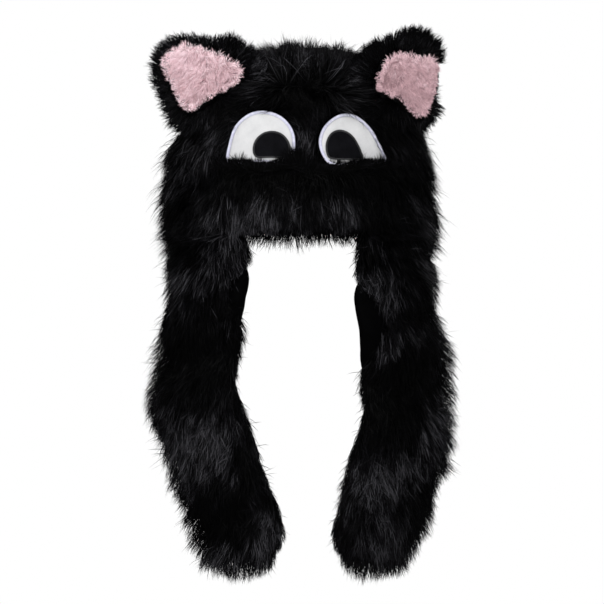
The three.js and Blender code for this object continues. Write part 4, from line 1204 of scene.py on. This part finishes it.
# Where each flap's fur swells over a wrinkle: height, share of the way across, size and how far it swells
SWELLS = {
    "left": [(-212, 0.4, 26, 30, 3.5), (-385, 0.35, 26, 34, 6.0), (-500, 0.6, 20, 30, 4.5),
             (-300, 0.5, 24, 30, -4.0), (-452, 0.4, 20, 34, -4.5), (-240, 0.9, 20, 22, -3.0)],
    "right": [(-222, 0.4, 26, 26, 4.5), (-380, 0.85, 40, 22, 5.0), (-470, 0.5, 34, 34, 4.5),
              (-335, 0.3, 34, 26, -4.5), (-300, 0.85, 22, 22, -3.0), (-268, 0.2, 18, 22, 2.5)],
}


def swell(side, across, z):
    total = 0 * z
    for height, place, tall, wide, size in SWELLS[side]:
        total = total + size * np.exp(-(((z - height) / tall) ** 2) - ((across - place) * 85 / wide) ** 2)
    return total


# Where the lining turns over a flap's inner edge and shows: x and z of the middle, half its width and height
BARE = {"left": (-55, -236, 13, 25), "right": (61, -267, 20, 38)}

# What comes off the height of the hairs at each flap's outer edge: height along the flap, and by how much
EDGE_TRIM = {
    "left": np.array([
        (-505, 0), (-490, -2), (-455, -4), (-440, 2), (-420, 2), (-400, -3), (-388, 4), (-372, 14),
        (-346, 14), (-337, 5), (-325, -3), (-290, -4), (-278, 0), (-262, 3.5), (-185, 3), (-175, -2),
        (-165, -2),
    ], float),
    "right": np.array([
        (-505, 4), (-480, 6), (-420, 7), (-400, 5), (-380, 1), (-350, -1), (-330, -4), (-290, -4),
        (-255, -3), (-240, 1), (-225, 6), (-195, 6), (-180, 2), (-165, 0),
    ], float),
}


def bare(side, p, below=0.0):
    """1 at the edge of the bare lining of a flap, and less inside it."""
    x, z, wide, tall = BARE[side]
    return np.hypot((p[:, 0] - x) / wide, (p[:, 2] - below - z) / tall)


def flap_comb(side):
    way = -1 if side == "left" else 1

    def comb(root, normal, u, v):
        across = np.clip((u - WRAP) / (1 - 2 * WRAP), 0, 1)
        z = root[:, 2]
        lump = swell(side, across, z)
        above = swell(side, across, z + 14)
        below = swell(side, across, z - 14)
        outer, inner = smooth((u - 0.55) / 0.4), smooth((0.3 - u) / 0.3)
        splay = 0.12 + 0.8 * outer - 0.22 * inner + 0.36 * wander(root, 60, 41) + 0.42 * wander(root, 26, 44)
        splay = splay + 0.3 * wander(root, 11, 45)
        beside = smooth((1.45 - bare(side, root, 14)) / 0.5)
        splay = mix(splay, 0.15 * splay, smooth((v - 0.84) / 0.1)) + 0.9 * beside
        lie = np.stack([way * splay, 0 * z, -np.ones_like(z)], axis=-1)
        lie = in_plane(lie, normal)
        length = FLAP_HAIR["length"] * (1 + 0.15 * wander(root, 30, 42)) * mix(1, 0.65, inner)
        fall = np.clip((below - above) / 6, -1, 1)
        along = np.clip((RIM_Z - z) / (RIM_Z - FLAP_END), 0, 0.9)
        pile = flap_pile(np.clip(across, 0.12, 0.88), along) - 2 * EDGE_ROUND
        edge = smooth((u - 0.78) / 0.12)
        rim = 1 - smooth(v / 0.22)
        trim = np.interp(z, *EDGE_TRIM[side].T)
        at_edge = mix(FLAP_HAIR["edge"], FLAP_HAIR["edge_at_rim"], rim) - trim
        height = mix(pile, at_edge, edge) * mix(1, 0.4, inner)
        height = height + mix(1.0, 0.3, inner) * lump + 2.0 * fall
        height = height + mix(8, -1, inner) * rim
        corner = smooth((v - 0.82) / 0.2) * np.maximum(0.35 * outer, 1.3 * inner)
        length = length * mix(1, 0.35, beside) * mix(1, 0.2, np.minimum(corner, 1))
        height = height * mix(1, 0.5, beside)
        height = height * (1 + 0.28 * wander(root, 26, 43))
        end = smooth((z - FLAP_END) / 20)
        shorter = mix(FLAP_HAIR["shorter_at_end"], 1, end)
        return lie, length * shorter, np.maximum(height, FLAP_HAIR["least"])

    return comb


def make_flap(side):
    facing = 1 if side == "right" else -1
    sheet = Sheet(flap_skin(side), np.linspace(0, 1, 110), np.linspace(-0.1, 1.004 + END_PAST, 240), facing)
    sheet.face_front(55, 110)
    lengthways = np.linspace(0, 1.004 + END_PAST, 100)
    along, around = np.meshgrid(lengthways, np.linspace(0, 1, 48), indexing="ij")
    front = flap_skin(side)(around, along)
    lengthways = np.linspace(0, 0.994 + END_PAST, 100)
    along, across = np.meshgrid(lengthways, np.linspace(0.93, 0.07, 7), indexing="ij")
    behind = flap_at(side, across, flap_down(along), 0.15)
    made = closed_tube(f"flap_backing_{side}", np.concatenate([front, behind], axis=1), BLACK_BACKING)

    def keep(u, v, p):
        over_rim = (v > -0.09) & (u > WRAP) & (u < 1 - WRAP / 2)
        return ((v > 0.0) | over_rim) & (v < 1.002 + END_PAST) & (bare(side, p) > 1)

    coat = Coat(sheet, flap_comb(side), 420, 6800, keep, sag=2)
    pile = Pile()
    pile.cover(coat, *HAIRS["flap"], gather=(0.28, 0.62), spread=0.34)
    piece = pile.make(f"flap_fur_strands_{side}", BLACK_FUR)
    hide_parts(f"flap_fur_{side}")


for side in FLAPS:
    make_flap(side)


# ---- Ears
SKIN_POINTS = CROWN_SHEET.points[::2, ::2].reshape(-1, 3)
SKIN_NORMALS = CROWN_SHEET.normals[::2, ::2].reshape(-1, 3)
CROWN_TREE = tree_of(SKIN_POINTS)


def above_crown(points):
    """How far points stand off the crown's backing."""
    near = np.array([CROWN_TREE.find(p)[1] for p in points])
    return dot(points - SKIN_POINTS[near], SKIN_NORMALS[near])


def ear_skin(ear):
    outline = grown(loop_through(ear["fur"], 180), -2.5)
    middle = outline.mean(axis=0)

    def place(turn, round_):
        edge = in_outline_order(outline, turn / (2 * pi) * len(outline) % len(outline))
        share = np.sin(pi * np.clip(round_, 0.0, 1.0)) ** 0.5
        spot = middle + (edge - middle) * share[..., None]
        x, z = spot[..., 0], spot[..., 1]
        dish = EAR["dish"] * (1 - share ** 2)
        thick = EAR["rim_thick"] + EAR["middle_thick"] * (1 - share ** 2)
        front = ear_y(ear, x, z) + dish + 1.2
        y = mix(front, front + thick - 5.0, 0.5 - 0.5 * np.cos(pi * round_))
        return np.stack([x, y, z], axis=-1)

    return place


def inner_skin(ear):
    outline = grown(loop_through(ear["inner"], 180), -2.5)
    middle = outline.mean(axis=0)
    fur_middle = grown(loop_through(ear["fur"], 180), 0).mean(axis=0)

    def place(turn, share):
        edge = in_outline_order(outline, turn / (2 * pi) * len(outline) % len(outline))
        spot = middle + (edge - middle) * share[..., None]
        x, z = spot[..., 0], spot[..., 1]
        out = np.clip(np.hypot(x - fur_middle[0], z - fur_middle[1]) / EAR_INNER["bowl"], 0, 1)
        y = ear_y(ear, x, z) + 0.6 * EAR["dish"] * (1 - out ** 2) - EAR_INNER["sunk"] - 1.0
        here = np.stack([x, 0 * x, z], axis=-1)
        return np.stack([x, y + 0.9 * share ** 4 + 0.5 * wander(here, 22, 8), z], axis=-1)

    return place


def edge_hairs(side, count, start, past, way, rise, longest, tint):
    """Hairs over the edge of an ear's pink, rooted from start to past it. They point in where way is -1."""
    ear = EARS[side]
    edge = grown(loop_through(ear["inner"], 240), -3.0)
    ahead = unit(np.roll(edge, -1, axis=0) - np.roll(edge, 1, axis=0))
    pick = rng.integers(0, len(edge), count)
    out = np.stack([ahead[pick, 1], 0 * pick, -ahead[pick, 0]], axis=1)
    root = np.stack([edge[pick, 0], 0 * pick, edge[pick, 1]], axis=1)
    root = root + out * rng.uniform(start, past, count)[:, None]
    front = np.broadcast_to([0.0, -1.0, 0.0], root.shape)
    lean = rng.normal(0, 0.45, count) + 0.9 * wander(root, 11, 66)
    lie = turned(way * out, front, lean)
    length = longest * rng.uniform(0.4, 1, count) * (1 + 0.45 * wander(root, 13, 67))
    up = smooth((out[:, 2] + 0.1) / 0.7)
    if way > 0:
        length *= mix(0.8, 1.2, up)
    else:
        length *= mix(1 + 0.8 * smooth(-out[:, 0]) * (side == "left"), 0.6, up)
    path = []
    for t in STRAND_T:
        p = root + lie * (length * t)[:, None]
        p[:, 1] = ear_y(ear, p[:, 0], p[:, 2]) - rise * (0.4 + math.sin(2.4 * t))
        path.append(p)
    path = np.stack(path)
    bare_edge = (way < 0) & (root[:, 0] > 128) & (root[:, 2] < 12)
    kept = (above_crown(path[0]) > 2) & ~bare_edge
    # tint adds painted light and shade to each hair's random tone
    shade = np.clip(rng.random(count) ** 2 * tint(path[-2]) * (0.4 if way < 0 else 1.0), 0.002, 0.998)
    return path[:, kept], front[kept], rng.uniform(0.35, 0.6, count)[kept], shade[kept]


def make_ear(side):
    ear = EARS[side]
    fur_edge, inner_edge = loop_through(ear["fur"], 120), grown(loop_through(ear["inner"], 120), -3.5)
    middle = fur_edge.mean(axis=0)
    sheet = Sheet(ear_skin(ear), np.linspace(-0.4, 2 * pi + 0.4, 150), np.linspace(0.004, 0.996, 60))
    sheet.face_front(75, 4)
    t, r = np.meshgrid(np.linspace(0, 2 * pi, 72, endpoint=False), np.linspace(0.004, 0.996, 26))
    made = closed_tube(f"ear_backing_{side}", ear_skin(ear)(t, r), BLACK_BACKING)

    def keep(u, v, p):
        far, _ = outside(inner_edge, p[:, 0], p[:, 2])
        rim = (v > 0.42) | (far > 0.3)
        return rim & (u >= 0) & (u < 2 * pi) & (above_crown(p) > -2)

    def comb(root, normal, u, v):
        away = root[:, [0, 2]] - middle
        far = np.linalg.norm(away, axis=1)
        away = unit(away)
        back = smooth((v - 0.5) / 0.15)
        lie = np.stack([away[:, 0], 0 * far, away[:, 1] + 0.35], axis=-1)
        lie = in_plane(lie - 0.15 * normal * (v < 0.5)[:, None], normal)
        beside = smooth((6 - outside(inner_edge, root[:, 0], root[:, 2])[0]) / 5) * (v < 0.45)
        lie = turned(lie, normal, 0.3 * wander(root, 26, 51) + 2.2 * beside * wander(root, 9, 54))
        edge = smooth((v - 0.35) / 0.1) * smooth((0.65 - v) / 0.1)
        length = mix(15, 20, back) * (1 + 0.15 * wander(root, 14, 52)) * mix(1, 0.8, edge)
        height = mix(4.0, 6.5, back) * (1 + 0.25 * wander(root, 14, 53))
        height = height + mix(4.5, 7.5, smooth(root[:, 2] / 20)) * edge
        if side == "right":
            beside_pink = smooth((14 - root[:, 2]) / 6) * smooth((root[:, 2] + 30) / 6)
            outer_edge = smooth((root[:, 0] - 130) / 6) * beside_pink
            length, height = length * mix(1, 0.25, outer_edge), height * mix(1, 0.3, outer_edge)
        return lie, length, height

    coat = Coat(sheet, comb, 150, 2200, keep, bend=60, sag=1)
    pile = Pile()
    pile.cover(coat, *HAIRS["ear"], stray=0.12, gather=(0.3, 0.8))
    pile.add(*edge_hairs(side, strands(EDGE_HAIRS["black"]), 3.0, 6.0, -1, 3.2, 6.2, black_painted_sheen), TAPER)
    piece = pile.make(f"ear_fur_strands_{side}", BLACK_FUR)
    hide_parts(f"ear_fur_{side}")

    plush = Sheet(inner_skin(ear), np.linspace(-0.4, 2 * pi + 0.4, 120), np.linspace(0.004, 1, 40))
    plush.face_front(60, 20)
    turns = np.linspace(0, 2 * pi, 96, endpoint=False)
    t, r = np.meshgrid(turns, np.linspace(0.004, 1, 24))
    front = inner_skin(ear)(t, r)
    back = front[-1] + [0, 1.4, 0]
    points = np.concatenate([front.reshape(-1, 3), back])
    faces = grid_faces(25, 96, around=True).tolist() + [list(range(96))[::-1]]
    made = mesh_object(f"ear_pink_backing_{side}", points, faces, PINK_BACKING)

    def pink_keep(u, v, p):
        return (u >= 0) & (u < 2 * pi) & (above_crown(p) > 1)

    def pink_comb(root, normal, u, v):
        away = unit(root[:, [0, 2]] - middle)
        lie = np.stack([0.5 * away[:, 0] + 0.1, 0 * u, 0.5 * away[:, 1] - 0.75], axis=-1)
        lie = turned(in_plane(lie, normal), normal, 0.5 * wander(root, 18, 61) + 0.3 * wander(root, 7, 65))
        low_edge = smooth((v - 0.6) / 0.3) * smooth((0.6 - away[:, 1]) / 0.5)
        length = 11 * (1 + 0.2 * wander(root, 10, 62)) * mix(1, 0.25, low_edge)
        return lie, length, 4.6 * (1 + 0.4 * wander(root, 9, 63)) * mix(1, 0.45, low_edge)

    low = -26 if side == "left" else -24

    # Painted light and shade over a random tone: the pink is lighter towards the top and the left, and the
    # right ear is darker, as turned from the light
    def pink_tone_and_painted_light(p):
        lit = mix(0.85, 1.5, smooth((p[:, 2] - low) / 50)) * mix(0.9, 1.3, smooth((-60 - p[:, 0]) / 70))
        return np.where(p[:, 0] < 0, 1.35 * lit, 0.78 * lit) + 0.25 * wander(p, 16, 64)

    coat = Coat(plush, pink_comb, 260, 2200, pink_keep)
    pile = Pile()
    hairs = coat.grow(strands(PINK_HAIRS), SHORT_T, 0.45, pink_tone_and_painted_light, gather=(0.4, 0.7), spread=0.4)
    pile.add(*hairs, SHORT_TAPER)
    pile.add(*edge_hairs(side, strands(EDGE_HAIRS["pink"]), -6.0, 0.5, 1, 3.4, 6.4, pink_tone_and_painted_light), TAPER)
    piece = pile.make(f"ear_pink_plush_{side}", PINK_FUR)
    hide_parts(f"ear_inner_{side}")


for side in EARS:
    make_ear(side)


# ---- Linings
SEAMS = 6


def crown_lining():
    turns = np.linspace(0, 2 * pi, 108, endpoint=False)
    rises = np.linspace(0, 1, 31)[:-1]
    t, r = np.meshgrid(turns, rises)
    z = crown_z(r)
    plain = crown_at(t, z, 0.0)
    seam = np.exp(-((np.mod(t * SEAMS / (2 * pi) + 0.5, 1) - 0.5) * 2 * pi / SEAMS / 0.018) ** 2)
    stitched = np.exp(-((z - RIM_Z - 9) / 1.0) ** 2)
    puckers = 0.35 * wander(plain, 26, 71) + 0.15 * wander(plain, 9, 72)
    relief = 0.5 * puckers - 0.5 * stitched + 0.9 * seam * smooth((1 - r) / 0.1)
    inside = crown_at(t, z, -LINING_WALL + relief)
    outer = crown_at(t, z, -0.1 + 0 * t)
    n, m = len(turns), len(rises)
    points = np.concatenate([outer.reshape(-1, 3), inside.reshape(-1, 3),
                             crown_at(0.0, TOP_Z, -0.1)[None], crown_at(0.0, TOP_Z, -LINING_WALL)[None]])
    faces = grid_faces(m, n, around=True).tolist()
    faces += [[i + m * n for i in f[::-1]] for f in faces]
    k = np.arange(n)
    faces += np.stack([m * n + k, m * n + (k + 1) % n, (k + 1) % n, k], axis=1).tolist()
    top, low = 2 * m * n, 2 * m * n + 1
    last = (m - 1) * n
    faces += [[last + a, last + (a + 1) % n, top] for a in range(n)]
    faces += [[m * n + last + (a + 1) % n, m * n + last + a, low] for a in range(n)]
    made = mesh_object("crown_lining_cloth", points, faces, LINING)
    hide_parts("crown_lining")


def lining_turned(side):
    """The part of a flap's lining that turns over its inner edge to the front."""
    middle_x, middle_z, wide, tall = BARE[side]
    z = np.linspace(middle_z + 1.15 * tall, middle_z - 1.15 * tall, 44)
    reach = abs(middle_x) + wide * 1.15 * np.sqrt(np.maximum(1 - ((z - middle_z) / tall) ** 2, 0.04))
    inner_x, outer_x = column(FLAPS[side], 1, z), column(FLAPS[side], 2, z)
    round_ = WRAP + (1 - 2 * WRAP) * np.clip((reach - inner_x) / (outer_x - inner_x), 0, 1)
    down = (RIM_Z - SEAM_GAP - z) / (RIM_Z - SEAM_GAP - FLAP_END)
    shares, along = np.meshgrid(np.linspace(0.0, 1, 20), down, indexing="ij")
    skin = flap_skin(side)
    sheet = Sheet(lambda s, k: skin(s * np.interp(k, along[0], round_), k), shares[:, 0], along[0])
    sheet.face_front(15, 20)
    rolled = 6.0 * np.sin(pi * np.linspace(0, 1, len(z))) ** 0.8
    rolled = rolled * np.minimum(1, 4 * shares) * (1 - shares) ** 0.5
    folds = 0.4 * np.sin(0.5 * (sheet.points[..., 0] + 0.5 * sheet.points[..., 2])) * shares + rolled
    outer, inner = (sheet.points + sheet.normals * (rise + folds)[..., None] for rise in (1.4, 0.4))
    made = closed_tube(
        f"flap_lining_turned_{side}", np.concatenate([outer, inner[::-1]]).transpose(1, 0, 2), SHADED_LINING_COPY)
    return made


def flap_lining(side):
    across, along = np.linspace(0.03, 0.97, 28), np.linspace(0, 1, 90)
    a, l = np.meshgrid(across, along, indexing="ij")
    z = flap_z(l)
    plain = flap_at(side, a, z, 0.0)
    edge = np.minimum(a - 0.03, 0.97 - a) * 80
    edge = np.minimum(edge, (1 - l) * 340)
    wrinkle = 0.8 * wander(plain, 48, 81) + 0.35 * wander(plain, 17, 82)
    stitched = 0.5 * np.exp(-((edge - 4) / 0.8) ** 2)
    back = flap_at(side, a, z, -FLAP_LINING_WALL + wrinkle * smooth(edge / 8) * 0.6 + stitched)
    front = flap_at(side, a, z, -0.1 + 0 * a)
    rows, columns = a.shape
    n = rows * columns
    faces = grid_faces(rows, columns, flip=side == "left").tolist()
    faces += [[i + n for i in f[::-1]] for f in faces]
    rim = [i * columns for i in range(rows)]
    rim += [(rows - 1) * columns + j for j in range(1, columns)]
    rim += [i * columns + columns - 1 for i in range(rows - 2, -1, -1)]
    rim += range(columns - 2, 0, -1)
    for i, j in zip(rim, rim[1:] + rim[:1]):
        faces.append([i, j, j + n, i + n] if side == "left" else [j, i, i + n, j + n])
    points = np.concatenate([front.reshape(-1, 3), back.reshape(-1, 3)])
    made = mesh_object(f"flap_lining_cloth_{side}", points, faces, LINING)
    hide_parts(f"flap_lining_{side}")
    turned_over = lining_turned(side)


crown_lining()
for side in FLAPS:
    flap_lining(side)


# ---- Floor, light and camera
PHOTO_WIDTH = 0.6342  # how much of the hat's plane the picture shows, from side to side
PHOTO_MIDDLE = Vector((0.0021, -0.06, -0.2405))
CAMERA_FAR = 5.0
FLOOR_Z = -0.98
FLOOR_REACH = 2.3


def floor():
    finish = Finish("pale_floor", Specular_IOR_Level=0.2)
    grain = finish.noise(6.0, 3.0)
    tone = finish.ramp(grain, (0.3, (0.86, 0.86, 0.86)), (0.7, (0.9, 0.9, 0.9)))
    material = finish.set(Base_Color=tone, Roughness=0.9)
    turns = np.linspace(0, 2 * pi, 96, endpoint=False)
    points = [(FLOOR_REACH * math.cos(a), FLOOR_REACH * math.sin(a), FLOOR_Z) for a in turns]
    mesh = bpy.data.meshes.new("floor")
    mesh.from_pydata(points, [], [list(range(len(points)))])
    mesh.materials.append(material)
    made = bpy.data.objects.new("floor", mesh)
    bpy.context.scene.collection.objects.link(made)


def softbox(name, place, aim, size, power, tone=(1, 1, 1)):
    light = bpy.data.lights.new(name, "AREA")
    light.shape, light.size, light.size_y = "RECTANGLE", *size
    light.energy, light.color = power, tone
    made = bpy.data.objects.new(name, light)
    made.location = place
    made.rotation_euler = (Vector(aim) - Vector(place)).to_track_quat("-Z", "Y").to_euler()
    made.visible_camera = False
    bpy.context.scene.collection.objects.link(made)


def studio():
    world = bpy.data.worlds.new("studio")
    bpy.context.scene.world = world
    world.use_nodes = True
    nodes, links = world.node_tree.nodes, world.node_tree.links
    seen, lit = nodes["Background"], nodes.new("ShaderNodeBackground")
    seen.inputs[0].default_value, seen.inputs[1].default_value = (1, 1, 1, 1), 1.0
    lit.inputs[0].default_value, lit.inputs[1].default_value = (1, 1, 1, 1), 0.22
    rays, both = nodes.new("ShaderNodeLightPath"), nodes.new("ShaderNodeMixShader")
    links.new(rays.outputs["Is Camera Ray"], both.inputs[0])
    links.new(lit.outputs[0], both.inputs[1])
    links.new(seen.outputs[0], both.inputs[2])
    links.new(both.outputs[0], nodes["World Output"].inputs[0])
    softbox("key", (-0.9, -1.7, 1.0), (0, 0, -0.2), (1.2, 1.2), 44)
    softbox("fill", (1.5, -1.6, 0.0), (0, 0, -0.25), (1.2, 1.6), 12)
    softbox("top", (0.2, 0.0, 1.3), (0, 0, -0.1), (1.0, 1.0), 10)
    softbox("back", (0.3, 1.9, 0.5), (0, 0, -0.2), (1.4, 1.4), 16)


def camera():
    data = bpy.data.cameras.new("camera")
    data.sensor_width = 36
    data.lens = 36 * CAMERA_FAR / PHOTO_WIDTH
    made = bpy.data.objects.new("camera", data)
    made.location = PHOTO_MIDDLE + Vector((0, -CAMERA_FAR, 0))
    made.rotation_euler = (math.radians(90), 0, 0)
    bpy.context.scene.collection.objects.link(made)
    bpy.context.scene.camera = made


floor()
studio()
camera()
bpy.context.scene.view_settings.view_transform = "Standard"
